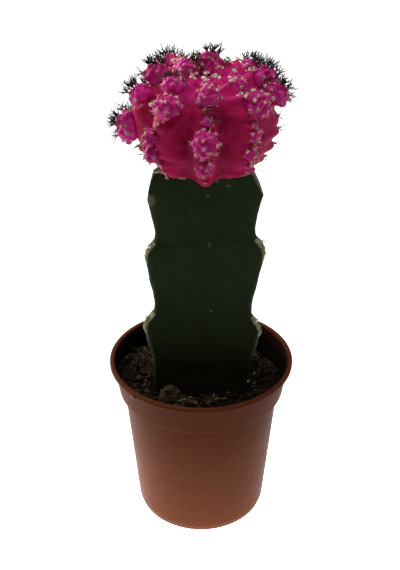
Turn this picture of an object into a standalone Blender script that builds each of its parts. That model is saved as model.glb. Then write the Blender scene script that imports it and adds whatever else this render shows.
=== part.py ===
"""Potted moon cactus: a ribbed magenta scion with offsets, grafted on a three-ribbed green rootstock.

Metres, +Z up. The origin is the centre of the pot's foot, and -Y is the front, which one flat
face of the rootstock looks towards. Each piece that can be lifted out or that grew as one is one
object: the pot, the soil, the rootstock, and the scion with its offsets and spines.
"""

import math
import random

import bmesh
import bpy
import numpy as np
from mathutils import Vector

GAP = 0.0003  # clearance between neighbouring pieces

# Pot: a thin moulded shell, turned about +Z.
POT_HEIGHT = 0.0546
RIM_RADIUS = 0.0275
RIM_DEPTH = 0.0013
COLLAR_TOP_RADIUS = 0.0262
COLLAR_FOOT_RADIUS = 0.0248
COLLAR_FOOT_Z = 0.0446
BODY_TOP_RADIUS = 0.0233
BODY_TOP_Z = 0.0438
BODY_FOOT_RADIUS = 0.0197
BODY_FOOT_Z = 0.0050
FOOT_RADIUS = 0.0146
FOOT_WIDTH = 0.0016
FOOT_RECESS = 0.0009
FLOOR_Z = 0.0020
WALL = 0.0009
# The wall's section as (radius, height): its inner side upwards, then over the rim and down outside.
POT_INSIDE = (
    (0.0150, FLOOR_Z),
    (0.0175, 0.0034),
    (0.0188, 0.0055),
    (BODY_TOP_RADIUS - WALL, BODY_TOP_Z - 0.0004),
    (COLLAR_FOOT_RADIUS - WALL, COLLAR_FOOT_Z - 0.0003),
    (0.0259, 0.0543),
)
POT_OUTSIDE = (
    (RIM_RADIUS - 0.0012, POT_HEIGHT),
    (RIM_RADIUS - 0.0004, POT_HEIGHT),
    (RIM_RADIUS, POT_HEIGHT - 0.0003),
    (RIM_RADIUS, POT_HEIGHT - RIM_DEPTH),
    (COLLAR_TOP_RADIUS, POT_HEIGHT - RIM_DEPTH - 0.0004),
    (COLLAR_FOOT_RADIUS, COLLAR_FOOT_Z),
    (COLLAR_FOOT_RADIUS - 0.0006, COLLAR_FOOT_Z - 0.0005),
    (BODY_TOP_RADIUS, BODY_TOP_Z),
    (BODY_FOOT_RADIUS, BODY_FOOT_Z),
    (BODY_FOOT_RADIUS - 0.0007, 0.0029),
    (BODY_FOOT_RADIUS - 0.0025, 0.0011),
    (FOOT_RADIUS, 0.0),
    (FOOT_RADIUS - FOOT_WIDTH, 0.0),
    (FOOT_RADIUS - FOOT_WIDTH - 0.0006, FOOT_RECESS),
)
POT_STEPS = 48
DRAIN_COUNT = 6
DRAIN_RADIUS = 0.0018
DRAIN_CIRCLE = 0.0085
DRAIN_SEGMENTS = 12
DRAIN_CUT_DEPTH = 0.01

# Soil: fills the pot to a little above the collar's foot, higher at the front and banked up
# against the wall at the left.
SOIL_LEVEL = 0.0469
SOIL_SLOPE = -0.02
MOUND_PLACE = (-0.016, 0.008)
MOUND_SPREAD = (0.006, 0.008)
MOUND_HEIGHT = 0.0018
BANK_FACING = 205.0
BANK_SPREAD = 55.0
BANK_HEIGHT = 0.0048
BANK_START = 0.0130
BANK_END = 0.0245
BANK_STEEPNESS = 1.5
SOIL_SEGMENTS = 40
# Its side keeps a little more than GAP from the wall, whose flats come nearer than its corners.
SOIL_SIDE_GAP = 0.00041
SOIL_SIDE_LEVELS = (FLOOR_Z + GAP, 0.0036, 0.0057, BODY_TOP_Z - 0.0004, COLLAR_FOOT_Z - 0.0002)
SOIL_EDGE_Z = 0.0448
# The rings of its surface inside its edge, as shares of the radius at the edge.
SOIL_RING_SHARES = (0.93, 0.83, 0.72, 0.6, 0.45, 0.25)
SOIL_SEED = 9
CRUMB_COUNT = 26
CRUMB_FIELD_RADIUS = 0.0218
CRUMB_RADII = (0.0007, 0.0014)
CRUMB_RISE = 0.15
CRUMB_SQUASH = 0.75
CRUMB_UNEVENNESS = 0.2
FIBRE_COUNT = 8
FIBRE_FIELD_RADIUS = 0.0195
FIBRE_LENGTHS = (0.0025, 0.0045)
FIBRE_RADIUS = 0.0004
# The clod's lumps: x, y, height over the soil's surface, radius.
CLOD_LUMPS = (
    (-0.0097, -0.0132, 0.0018, 0.0029),
    (-0.0121, -0.0144, 0.0006, 0.0019),
    (-0.0075, -0.0126, 0.0010, 0.0018),
)
CLOD_SQUASH = 0.9

# Rootstock: three ribs, 120 degrees apart, with one flat face to the front.
STOCK_FOOT_Z = 0.029
STOCK_BURIED_Z = 0.0485
GRAFT_Z = 0.119
RIB_WAIST_RADIUS = 0.0157
RIB_LOBE_HEIGHT = 0.0034
RIB_HALF_THICKNESS = 0.0017
FACE_DISTANCE = 0.0088
# Where the points of a rib's round edge stand, in degrees off the rib's direction, and where those
# of the hollow face beyond it stand, as shares of the face's curve.
EDGE_TURNS = (-80.0, -35.0, 35.0, 80.0)
FACE_SHARES = (0.17, 0.34, 0.5, 0.66, 0.83)
STOCK_LEAN = 0.0011
STOCK_LEAN_TOP_Z = 0.100
# How far a rib swells below each notch, as shares of the pitch and of the lobe's height.
LOBE_SHAPE = ((0.0, 0.05, 0.10, 0.18, 0.40, 0.70, 0.90, 1.0), (0.1, 0.6, 0.88, 1.0, 0.74, 0.24, 0.02, 0.1))
NOTCH_RISE = 0.0014
LAST_PITCH = 0.024
AREOLE_RISE = 0.0003
AREOLE_RADIUS = 0.0012
# Each rib: its direction in degrees, the heights of its areoles, and the slice cut off its top
# corner as the direction that the cut faces, the height where it starts, its distance from the
# axis there and its slope.
STOCK_RIBS = (
    (-30.0, (0.1205, 0.0980, 0.0726), (0.0, 0.1108, 0.0168, 0.50)),
    (90.0, (0.1150, 0.0890, 0.0650), (90.0, 0.1090, 0.0186, 0.60)),
    (210.0, (0.1180, 0.0968, 0.0740), (180.0, 0.1112, 0.0160, 0.23)),
)
BASE_AREOLE_Z = 0.0512
RING_SPACING = 0.0040
RING_LEAST_SPACING = 0.0009
# The spines of an areole, each leaning this much across the rib and up for one part outwards.
STOCK_SPINE_LEANS = ((0.7, 0.9), (-0.6, 0.5), (0.1, -0.3))
STOCK_SPINE_LENGTH = 0.0022

# Scion: eight ribs round a flattened globe, measured on the ribs' crests.
SCION_CENTRE_X = 0.0011
SCION_EQUATOR_Z = 0.1302
SCION_RADIUS = 0.0190
SCION_TOP_REACH = 0.0136
SCION_FOOT_REACH = 0.0150
SCION_FULLNESS = 0.75
SCION_FOOT_LATITUDE = -56.0
SCION_DIMPLE = 0.0020
SCION_DIMPLE_RADIUS = 0.0050
VALLEY_DEPTH = 0.21
VALLEY_SAG = 0.0016
VALLEY_POWER = 1.3
RIB_PITCH = 45.0
FIRST_RIB_ANGLE = -90.0
# How many degrees the ribs on the diagonals crowd towards the front and the back.
RIB_CROWDING = 5.5
# Each rib in turn, from the front one round by the right: its offsets as latitude in degrees,
# diameter in millimetres and degrees to the crest's left or right, then the latitudes of its
# areoles that bear only spines.
SCION_RIBS = (
    (((51, 6.2, 4), (25, 2.8, 2), (5, 7.0, 0), (-17, 4.8, -2)), (80, 68, 38, -44)),
    (((62, 4.4, 18), (32, 7.6, 10)), (80, 12, -4, -15, -26)),
    (((44, 7.2, 4), (28, 6.8, -4)), (72, 4, -6, -23, -39)),
    (((32, 7.2, -4), (6, 6.4, 0)), (80, 60, -14, -30)),
    (((72, 6.6, -12), (20, 6.8, 4)), (48, 0, -24)),
    (((76, 6.2, 14), (37, 6.6, -5), (8, 6.6, 2)), (58, -12, -30)),
    (((55, 6.4, -3), (31, 6.2, 9), (-6, 8.0, -4)), (84, 12, -34)),
    (((59, 5.4, -6), (34, 7.0, 5), (1, 5.0, -8), (-13, 4.6, -7)), (80, 16, -28, -42)),
)
SCION_LATITUDES = (SCION_FOOT_LATITUDE, -50, -41, -32, -22, -12, -2, 8, 18, 28, 38, 48, 57, 65, 72, 79, 86)
SCION_COLUMNS = 48
SEAT_FOOT_Z = 0.108
OFFSET_COLUMNS = 10
OFFSET_ROWS = 6
OFFSET_ROW_TURN = 172.0
OFFSET_LIFT = 0.48
OFFSET_TUBERCLE = 0.14
OFFSET_HOLLOW = 0.063
BARE_SPINES = 4
BARE_SPINE_SIZE = 0.004
FULL_SPINE_SIZE = 0.0075
SPINE_RADIUS = 0.00026
SPINE_ROOT = 0.0009
SPINE_LENGTH = 0.0036
SPINE_SINK = 0.0003
SCION_SEED = 28

GREEN = (0.018, 0.045, 0.016, 1.0)
MAGENTA = (0.42, 0.012, 0.085, 1.0)
TERRACOTTA = (0.27, 0.085, 0.042, 1.0)
PEAT = (0.035, 0.024, 0.016, 1.0)


def clear_scene():
    for obj in list(bpy.data.objects):
        bpy.data.objects.remove(obj, do_unlink=True)


def new_collection(name):
    collection = bpy.data.collections.new(name)
    bpy.context.scene.collection.children.link(collection)
    return collection


def new_material(name, colour, roughness, metallic=0.0):
    material = bpy.data.materials.new(name)
    material.use_nodes = True
    shader = material.node_tree.nodes["Principled BSDF"]
    shader.inputs["Base Color"].default_value = colour
    shader.inputs["Roughness"].default_value = roughness
    shader.inputs["Metallic"].default_value = metallic
    return material


def object_from(bm, name, collection):
    """A new object that holds the bmesh bm, with its faces pointing out."""
    bmesh.ops.recalc_face_normals(bm, faces=bm.faces)
    mesh = bpy.data.meshes.new(name)
    bm.to_mesh(mesh)
    bm.free()
    obj = bpy.data.objects.new(name, mesh)
    collection.objects.link(obj)
    return obj


def loft(rings):
    """A closed bmesh over rings of equally many points, with a flat fan on the first and the last ring."""
    bm = bmesh.new()
    rows = [[bm.verts.new(point) for point in ring] for ring in rings]
    count = len(rows[0])
    for low, high in zip(rows, rows[1:]):
        for i in range(count):
            j = (i + 1) % count
            bm.faces.new((low[i], low[j], high[j], high[i]))
    for row in (rows[0], rows[-1]):
        middle = sum((vert.co for vert in row), Vector()) / count
        hub = bm.verts.new(middle)
        for i in range(count):
            bm.faces.new((row[i], row[(i + 1) % count], hub))
    return bm


def apply_modifiers(obj):
    """Replaces the object's mesh with the one that its modifiers make."""
    bpy.context.view_layer.update()
    graph = bpy.context.evaluated_depsgraph_get()
    mesh = bpy.data.meshes.new_from_object(obj.evaluated_get(graph))
    obj.modifiers.clear()
    obj.data = mesh


def cut(obj, cutter):
    """Takes the cutter's shape out of the object."""
    modifier = obj.modifiers.new("cut", "BOOLEAN")
    modifier.operation = "DIFFERENCE"
    modifier.object = cutter
    apply_modifiers(obj)
    bpy.data.objects.remove(cutter)


def fuse(obj, repeats):
    """Joins every object of the collection repeats to obj in one union, then removes them."""
    modifier = obj.modifiers.new("fuse", "BOOLEAN")
    modifier.operation = "UNION"
    modifier.operand_type = "COLLECTION"
    modifier.solver = "MANIFOLD"
    modifier.collection = repeats
    apply_modifiers(obj)
    for piece in list(repeats.objects):
        bpy.data.objects.remove(piece)
    bpy.data.collections.remove(repeats)


def drop_scrap(obj):
    """Keeps only the largest connected piece of the object's mesh."""
    bm = bmesh.new()
    bm.from_mesh(obj.data)
    waiting = set(bm.verts)
    pieces = []
    while waiting:
        piece = {waiting.pop()}
        edge_of_piece = list(piece)
        while edge_of_piece:
            vert = edge_of_piece.pop()
            for edge in vert.link_edges:
                other = edge.other_vert(vert)
                if other not in piece:
                    piece.add(other)
                    edge_of_piece.append(other)
        waiting -= piece
        pieces.append(piece)
    pieces.sort(key=len)
    for piece in pieces[:-1]:
        bmesh.ops.delete(bm, geom=list(piece), context="VERTS")
    bm.to_mesh(obj.data)
    bm.free()


def finish(obj, material, smooth_angle=None):
    obj.data.materials.clear()
    obj.data.materials.append(material)
    if smooth_angle is None:
        obj.data.shade_flat()
        return
    obj.data.shade_smooth()
    obj.data.set_sharp_from_angle(angle=math.radians(smooth_angle))


# Pot


def inner_radius(z):
    """The pot's inner wall radius at height z."""
    return float(np.interp(z, [height for _, height in POT_INSIDE], [radius for radius, _ in POT_INSIDE]))


def build_pot(collection, material):
    bm = bmesh.new()
    section = [(0.0, FLOOR_Z), *POT_INSIDE, *POT_OUTSIDE, (0.0, FOOT_RECESS)]
    points = [bm.verts.new((radius, 0.0, z)) for radius, z in section]
    for first, second in zip(points, points[1:]):
        bm.edges.new((first, second))
    mesh = bpy.data.meshes.new("pot")
    bm.to_mesh(mesh)
    bm.free()
    pot = bpy.data.objects.new("pot", mesh)
    collection.objects.link(pot)
    screw = pot.modifiers.new("turn", "SCREW")
    screw.axis = "Z"
    screw.steps = POT_STEPS
    screw.render_steps = POT_STEPS
    screw.use_merge_vertices = True
    screw.merge_threshold = 0.00001
    apply_modifiers(pot)
    for i in range(DRAIN_COUNT):
        angle = math.tau * i / DRAIN_COUNT
        bm = bmesh.new()
        bmesh.ops.create_cone(
            bm,
            cap_ends=True,
            segments=DRAIN_SEGMENTS,
            radius1=DRAIN_RADIUS,
            radius2=DRAIN_RADIUS,
            depth=DRAIN_CUT_DEPTH,
        )
        place = Vector((math.cos(angle), math.sin(angle), 0.0)) * DRAIN_CIRCLE
        bmesh.ops.translate(bm, verts=bm.verts, vec=place)
        cut(pot, object_from(bm, "drain_cutter", collection))
    finish(pot, material, 35)
    return pot


# Rootstock


def rib_radius(areoles, z):
    """The radius of a rootstock rib's edge at height z: a lobe hangs below the notch over each areole."""
    notches = [height + NOTCH_RISE for height in areoles]
    above = [height for height in notches if height >= z]
    below = [height for height in notches if height < z]
    if not above:
        return RIB_WAIST_RADIUS
    pitch = min(above) - max(below) if below else LAST_PITCH
    share = (min(above) - z) / pitch
    return RIB_WAIST_RADIUS + RIB_LOBE_HEIGHT * float(np.interp(share, *LOBE_SHAPE))


def stock_axis_x(z):
    """The x of the rootstock's axis, which leans a little to the right on the way up."""
    rise = (z - STOCK_BURIED_Z) / (STOCK_LEAN_TOP_Z - STOCK_BURIED_Z)
    return STOCK_LEAN * min(max(rise, 0.0), 1.0)


def toward(degrees):
    """The horizontal unit vector in this direction."""
    turn = math.radians(degrees)
    return np.array((math.cos(turn), math.sin(turn)))


def stock_section(z, grow=0.0):
    """The rootstock's outline at height z, grown outwards: three round rib edges joined by hollow faces.

    A face is the quadratic curve between two edges whose middle lies at FACE_DISTANCE. What stands
    beyond a rib's slanting cut is pushed back onto the cut.
    """
    level = max(z, STOCK_BURIED_Z)
    edge_radius = RIB_HALF_THICKNESS + grow
    centres = [
        toward(direction) * (rib_radius(areoles, level) - RIB_HALF_THICKNESS)
        for direction, areoles, _ in STOCK_RIBS
    ]
    points = []
    for i, (direction, _, _) in enumerate(STOCK_RIBS):
        points += [centres[i] + edge_radius * toward(direction + turn) for turn in EDGE_TURNS]
        after = (i + 1) % len(STOCK_RIBS)
        start = points[-1]
        end = centres[after] + edge_radius * toward(STOCK_RIBS[after][0] + EDGE_TURNS[0])
        outward = toward(direction + 60.0)
        pull = outward * (4.0 * (FACE_DISTANCE + grow) - start @ outward - end @ outward) / 2.0
        for share in FACE_SHARES:
            points.append((1 - share) ** 2 * start + 2 * share * (1 - share) * pull + share**2 * end)
    for _, _, (facing, cut_z, distance, slope) in STOCK_RIBS:
        out = toward(facing)
        limit = distance - slope * (z - cut_z) + grow
        points = [point - out * max(point @ out - limit, 0.0) for point in points]
    return [(point[0] + stock_axis_x(z), point[1]) for point in points]


def stock_levels():
    """Heights of the rootstock's rings: evenly spaced above the soil, and at each areole and its notch."""
    levels = {STOCK_FOOT_Z, STOCK_BURIED_Z, GRAFT_Z}
    levels.update(float(z) for z in np.arange(STOCK_BURIED_Z + 0.0035, GRAFT_Z - 0.0025, RING_SPACING))
    for _, areoles, (_, cut_z, _, _) in STOCK_RIBS:
        for z in areoles:
            marks = (z + NOTCH_RISE, z, z - NOTCH_RISE)
            levels.update(mark for mark in marks if STOCK_BURIED_Z < mark < cut_z)
        levels.add(cut_z)
    spaced = []
    for z in sorted(levels):
        if not spaced or z - spaced[-1] > RING_LEAST_SPACING or z == GRAFT_Z:
            spaced.append(z)
    return spaced


def stock_rings(levels, grow=0.0):
    return [[(x, y, z) for x, y in stock_section(z, grow)] for z in levels]


def needle(root, direction, length, radius, collection):
    """A three-sided spine from root along direction, its wide end sunk SPINE_ROOT below the root."""
    bm = bmesh.new()
    bmesh.ops.create_cone(
        bm,
        cap_ends=True,
        segments=3,
        radius1=radius,
        radius2=0.0,
        depth=length + SPINE_ROOT,
    )
    bmesh.ops.translate(bm, verts=bm.verts, vec=(0.0, 0.0, (length - SPINE_ROOT) / 2))
    turn = Vector(direction).to_track_quat("Z", "Y").to_matrix().to_4x4()
    bmesh.ops.transform(bm, matrix=turn, verts=bm.verts)
    bmesh.ops.translate(bm, verts=bm.verts, vec=root)
    return object_from(bm, "needle", collection)


def build_rootstock(collection, material):
    stock = object_from(loft(stock_rings(stock_levels())), "rootstock", collection)
    spines = new_collection("stock_spines")
    for direction, areoles, (_, cut_z, _, _) in STOCK_RIBS:
        outward = Vector((*toward(direction), 0.0))
        across = Vector((-outward.y, outward.x, 0.0))
        for z in (*areoles, BASE_AREOLE_Z):
            if not STOCK_BURIED_Z < z - NOTCH_RISE < cut_z - NOTCH_RISE:
                continue
            seat_z = z + AREOLE_RISE
            seat = outward * (rib_radius(areoles, seat_z) - SPINE_SINK)
            seat += Vector((stock_axis_x(seat_z), 0.0, seat_z))
            bm = bmesh.new()
            bmesh.ops.create_icosphere(bm, subdivisions=1, radius=AREOLE_RADIUS)
            bmesh.ops.translate(bm, verts=bm.verts, vec=seat)
            object_from(bm, "areole", spines)
            for lean_across, lean_up in STOCK_SPINE_LEANS:
                pointing = outward + across * lean_across + Vector((0.0, 0.0, lean_up))
                root = seat + outward * 2 * SPINE_SINK
                needle(root, pointing, STOCK_SPINE_LENGTH, SPINE_RADIUS, spines)
    fuse(stock, spines)
    finish(stock, material, 40)
    return stock


# Soil


def soil_height(x, y):
    """The soil's surface: a slope, gentle swells, a mound at the rootstock's left and the bank."""
    swell = 0.0005 * math.sin(310 * x + 1.2) * math.cos(270 * y - 0.4)
    swell += 0.0003 * math.sin(690 * x - 2.0 + 400 * y)
    off_x = (x - MOUND_PLACE[0]) / MOUND_SPREAD[0]
    off_y = (y - MOUND_PLACE[1]) / MOUND_SPREAD[1]
    mound = MOUND_HEIGHT * math.exp(-(off_x**2) - off_y**2)
    aside = (math.degrees(math.atan2(y, x)) - BANK_FACING + 180.0) % 360.0 - 180.0
    outwards = (math.hypot(x, y) - BANK_START) / (BANK_END - BANK_START)
    steep = min(max(outwards, 0.0), 1.0) ** BANK_STEEPNESS
    bank = BANK_HEIGHT * steep * math.exp(-((aside / BANK_SPREAD) ** 2))
    return SOIL_LEVEL + SOIL_SLOPE * y + swell + mound + bank


def soil_rings():
    """Rings up the side of the soil, just inside the pot's wall, then inwards over its surface."""
    ways = [toward(360.0 * i / SOIL_SEGMENTS) for i in range(SOIL_SEGMENTS)]
    rings = []
    for z in SOIL_SIDE_LEVELS:
        radius = inner_radius(z - 0.0002) - SOIL_SIDE_GAP
        rings.append([(radius * x, radius * y, z) for x, y in ways])
    edge_z = [max(soil_height(*(BANK_END * way)), SOIL_EDGE_Z) for way in ways]
    edges = [inner_radius(z - 0.0002) - SOIL_SIDE_GAP for z in edge_z]
    rings.append([(*(edge * way), z) for way, edge, z in zip(ways, edges, edge_z)])
    for share in SOIL_RING_SHARES:
        places = [share * edge * way for way, edge in zip(ways, edges)]
        rings.append([(x, y, max(soil_height(x, y), SOIL_EDGE_Z)) for x, y in places])
    return rings


def scattered(field_radius, inner_share, draw):
    """A random place on the soil, between a circle of field_radius and this share of its area inside it."""
    way = toward(math.degrees(draw.uniform(0.0, math.tau)))
    return field_radius * math.sqrt(draw.uniform(inner_share, 1.0)) * way


def crumb(place, radius, squash, collection, draw):
    """One low, uneven lump sunk into the soil's surface."""
    bm = bmesh.new()
    bmesh.ops.create_icosphere(bm, subdivisions=1, radius=radius)
    for vert in bm.verts:
        vert.co *= draw.uniform(1.0 - CRUMB_UNEVENNESS, 1.0 + CRUMB_UNEVENNESS)
        vert.co.z *= squash
    bmesh.ops.translate(bm, verts=bm.verts, vec=place)
    object_from(bm, "crumb", collection)


def build_soil(collection, material):
    soil = object_from(loft(soil_rings()), "soil", collection)
    draw = random.Random(SOIL_SEED)
    bits = new_collection("soil_bits")
    for x, y, rise, radius in CLOD_LUMPS:
        crumb((x, y, soil_height(x, y) + rise), radius, CLOD_SQUASH, bits, draw)
    for _ in range(CRUMB_COUNT):
        x, y = scattered(CRUMB_FIELD_RADIUS, 0.25, draw)
        radius = draw.uniform(*CRUMB_RADII)
        crumb((x, y, soil_height(x, y) + CRUMB_RISE * radius), radius, CRUMB_SQUASH, bits, draw)
    for _ in range(FIBRE_COUNT):
        x, y = scattered(FIBRE_FIELD_RADIUS, 0.35, draw)
        swing = draw.uniform(0.0, math.tau)
        pointing = (math.cos(swing), math.sin(swing), 0.55)
        root = (x, y, soil_height(x, y) - FIBRE_RADIUS / 2)
        needle(root, pointing, draw.uniform(*FIBRE_LENGTHS), FIBRE_RADIUS, bits)
    fuse(soil, bits)
    levels = (STOCK_FOOT_Z - GAP, STOCK_BURIED_Z, POT_HEIGHT)
    hole = [[(x, y, z) for x, y in stock_section(STOCK_BURIED_Z, GAP)] for z in levels]
    cut(soil, object_from(loft(hole), "stock_hole_cutter", collection))
    drop_scrap(soil)
    finish(soil, material)
    return soil


# Scion


def crest_radius(latitude):
    return SCION_RADIUS * math.cos(math.radians(latitude)) ** SCION_FULLNESS


def crest_height(latitude):
    """The height of a rib's crest over the equator: its upper half is fuller than a ball's."""
    rise = math.sin(math.radians(latitude))
    if rise > 0.0:
        return SCION_TOP_REACH * rise**SCION_FULLNESS
    return SCION_FOOT_REACH * rise


def true_angle(angle):
    """The direction of an angle that is counted in evenly spaced ribs, in degrees."""
    return angle - RIB_CROWDING * math.sin(2.0 * math.radians(angle - FIRST_RIB_ANGLE))


def scion_point(angle, latitude):
    """A point of the globe: crests on a flattened globe, with a round valley between two ribs."""
    off_crest = abs((angle - FIRST_RIB_ANGLE + RIB_PITCH / 2) % RIB_PITCH - RIB_PITCH / 2) / (RIB_PITCH / 2)
    valley = (0.5 - 0.5 * math.cos(math.pi * off_crest)) ** VALLEY_POWER
    depth = VALLEY_DEPTH * (0.35 + 0.65 * math.cos(math.radians(latitude)))
    radius = crest_radius(latitude) * (1.0 - depth * valley)
    z = SCION_EQUATOR_Z + crest_height(latitude)
    z -= VALLEY_SAG * valley * max(math.sin(math.radians(latitude)), 0.0)
    z -= SCION_DIMPLE * math.exp(-((radius / SCION_DIMPLE_RADIUS) ** 2))
    x, y = radius * toward(true_angle(angle))
    return Vector((SCION_CENTRE_X + x, y, z))


def crest_frame(angle, latitude):
    """The globe's point there, and the unit vectors out of it, up along the rib and across it."""
    place = scion_point(angle, latitude)
    up = scion_point(angle, latitude + 1.0) - scion_point(angle, latitude - 1.0)
    up.normalize()
    across = Vector((*toward(true_angle(angle) + 90.0), 0.0))
    out = across.cross(up)
    out.normalize()
    return place, out, up, across


def scion_globe(collection):
    """The ribbed globe, cut to sit over the top of the rootstock."""
    angles = [FIRST_RIB_ANGLE + 360.0 * i / SCION_COLUMNS for i in range(SCION_COLUMNS)]
    rings = [[scion_point(angle, latitude) for angle in angles] for latitude in SCION_LATITUDES]
    globe = object_from(loft(rings), "scion", collection)
    levels = [z for z in stock_levels() if z > SEAT_FOOT_Z] + [GRAFT_Z + GAP]
    seat = stock_rings(levels, GAP)
    cut(globe, object_from(loft(seat), "graft_cutter", collection))
    return globe


def spine_allowed(root, tip):
    """Spines near the graft stay clear of the rootstock, and none reaches past the pot's rim."""
    low = min(root.z, tip.z) < GRAFT_Z + 0.0012
    near = min(math.hypot(root.x, root.y), math.hypot(tip.x, tip.y)) < RIB_WAIST_RADIUS + 0.002
    outside = max(abs(tip.x), abs(tip.y)) > RIM_RADIUS - 0.0006
    return not (low and near) and not outside


def offset_head(place, out, up, across, diameter, spikes, collection, draw):
    """A small round head on a rib, with tubercles in staggered rows and spines on those that show."""
    radius = diameter / 2
    centre = place + out * radius * OFFSET_LIFT
    spin = draw.uniform(0.0, math.tau)
    tilt = (out + up * draw.uniform(-0.15, 0.25) + across * draw.uniform(-0.2, 0.2)).normalized()
    side = tilt.cross(up).normalized()
    fore = side.cross(tilt)
    rings = []
    for row in range(1, OFFSET_ROWS):
        polar = math.radians(180.0 - OFFSET_ROW_TURN * row / OFFSET_ROWS)
        ring = []
        for column in range(OFFSET_COLUMNS):
            swing = spin + math.tau * column / OFFSET_COLUMNS
            raised = (row + column) % 2 == 0
            reach = radius * (1.0 + OFFSET_TUBERCLE if raised else 1.0 - OFFSET_HOLLOW)
            direction = tilt * math.cos(polar)
            direction += (side * math.cos(swing) + fore * math.sin(swing)) * math.sin(polar)
            ring.append(centre + direction * reach)
            if raised and direction.dot(out) > -0.25 and (row + column // 2) % 3 != 0:
                spikes.append((centre + direction * reach, direction, tilt, diameter))
        rings.append(ring)
    object_from(loft(rings), "offset", collection)


def build_scion(collection, material):
    globe = scion_globe(collection)
    draw = random.Random(SCION_SEED)
    heads = new_collection("scion_heads")
    spikes = []
    for rib, (offsets, areoles) in enumerate(SCION_RIBS):
        crest = FIRST_RIB_ANGLE + rib * RIB_PITCH
        for latitude, diameter, aside in offsets:
            frame = crest_frame(crest + aside, latitude)
            offset_head(*frame, diameter * 0.001, spikes, heads, draw)
        for latitude in areoles:
            place, out, up, across = crest_frame(crest, latitude)
            for k in range(BARE_SPINES):
                swing = math.tau * (k + draw.uniform(-0.2, 0.2)) / BARE_SPINES + 0.6
                pointing = out * 0.8 + up * math.sin(swing) + across * math.cos(swing)
                spikes.append((place, pointing.normalized(), out, BARE_SPINE_SIZE))
    for root, direction, axis, diameter in spikes:
        wander = Vector([draw.uniform(-0.25, 0.25) for _ in range(3)])
        pointing = (direction + axis * 0.5 + wander).normalized()
        size = min(max(diameter / FULL_SPINE_SIZE, 0.6), 1.0)
        length = SPINE_LENGTH * size * draw.uniform(0.8, 1.15)
        if spine_allowed(root, root + pointing * length):
            needle(root, pointing, length, SPINE_RADIUS, heads)
    fuse(globe, heads)
    drop_scrap(globe)
    finish(globe, material, 50)
    return globe


def main():
    clear_scene()
    collection = new_collection("moon_cactus")
    build_pot(collection, new_material("terracotta_plastic", TERRACOTTA, 0.5))
    build_soil(collection, new_material("peat", PEAT, 0.95))
    build_rootstock(collection, new_material("green_skin", GREEN, 0.42))
    build_scion(collection, new_material("magenta_flesh", MAGENTA, 0.38))


main()
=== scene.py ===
"""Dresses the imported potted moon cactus: pot, rootstock, peat, scion, offsets, wool and spines."""

import math

import bpy
import numpy as np
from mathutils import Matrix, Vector


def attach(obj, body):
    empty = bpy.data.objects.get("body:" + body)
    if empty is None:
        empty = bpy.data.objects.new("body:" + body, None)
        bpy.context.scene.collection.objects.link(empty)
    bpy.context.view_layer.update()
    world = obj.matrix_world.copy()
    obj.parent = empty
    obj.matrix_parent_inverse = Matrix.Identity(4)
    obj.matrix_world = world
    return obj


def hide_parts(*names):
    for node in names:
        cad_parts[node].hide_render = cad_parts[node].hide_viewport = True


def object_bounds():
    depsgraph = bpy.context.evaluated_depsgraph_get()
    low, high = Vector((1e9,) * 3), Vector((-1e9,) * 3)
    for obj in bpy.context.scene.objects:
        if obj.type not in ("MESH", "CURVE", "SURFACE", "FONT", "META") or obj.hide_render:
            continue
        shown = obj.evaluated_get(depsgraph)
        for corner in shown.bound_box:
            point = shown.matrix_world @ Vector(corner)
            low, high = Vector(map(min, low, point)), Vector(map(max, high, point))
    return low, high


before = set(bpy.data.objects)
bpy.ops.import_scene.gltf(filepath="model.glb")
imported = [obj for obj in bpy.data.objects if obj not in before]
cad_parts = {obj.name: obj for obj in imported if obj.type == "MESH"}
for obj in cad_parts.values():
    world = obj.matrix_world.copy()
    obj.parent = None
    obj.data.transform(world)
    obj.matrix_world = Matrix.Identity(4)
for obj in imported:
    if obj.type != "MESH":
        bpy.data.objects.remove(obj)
cad_low, cad_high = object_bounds()

# Camera. It stands a third of a metre from the plant and looks down on it by thirty degrees, so
# that the pot's rim shows as a wide ellipse with the peat inside it.
camera_lens = bpy.data.cameras.new("camera")
camera_lens.lens = 73.04
camera = bpy.data.objects.new("camera", camera_lens)
camera.location = (-0.00032, -0.2917, 0.2481)
camera.rotation_euler = (math.radians(59.97), 0.0, 0.0)
bpy.context.scene.collection.objects.link(camera)
bpy.context.scene.camera = camera

# Studio. A white table that glows softly, most of all round the pot and behind it, under a broad
# lamp overhead, with a lamp on each side. Less light comes from the front, which stays deep.
FLOOR_HALF = 3.0
LAMPS = (
    ("overhead_lamp", (0.0, 0.05, 1.3), 1.2, 10.5),
    ("left_lamp", (-0.72, 0.55, 0.32), 0.7, 13.0),
    ("right_lamp", (0.70, 0.70, 0.35), 0.7, 1.1),
    ("front_lamp", (-0.25, -1.0, 0.8), 0.5, 0.3),
)
LAMP_AIM = (0.0, 0.0, 0.08)
AIR_BRIGHTNESS = 0.15
# The table's glow far in front of the pot and behind it, and what a spot round the pot adds.
GLOW_FRONT, GLOW_BACK = 0.02, 0.75
GLOW_FRONT_Y, GLOW_BACK_Y = -0.15, -0.01
SPOT_GLOW = 2.7
SPOT_RADIUS = 0.085
SPOT_X = -0.010


def feed(tree, socket, value):
    """Links a socket to another node's output, or gives it its own number or colour."""
    if isinstance(value, bpy.types.NodeSocket):
        tree.links.new(value, socket)
    else:
        socket.default_value = value


def add(tree, kind, values, output=0, **settings):
    """Adds a shader node, feeds the sockets that values lists, and returns one of its outputs."""
    made = tree.nodes.new("ShaderNode" + kind)
    for key, value in settings.items():
        setattr(made, key, value)
    for key, value in values.items():
        feed(tree, made.inputs[key], value)
    return made.outputs[output]


def mixed(tree, share, low, high):
    """The colour low where share is 0 and high where it is 1."""
    return add(tree, "Mix", {0: share, 6: low, 7: high}, output=2, data_type="RGBA")


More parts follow.
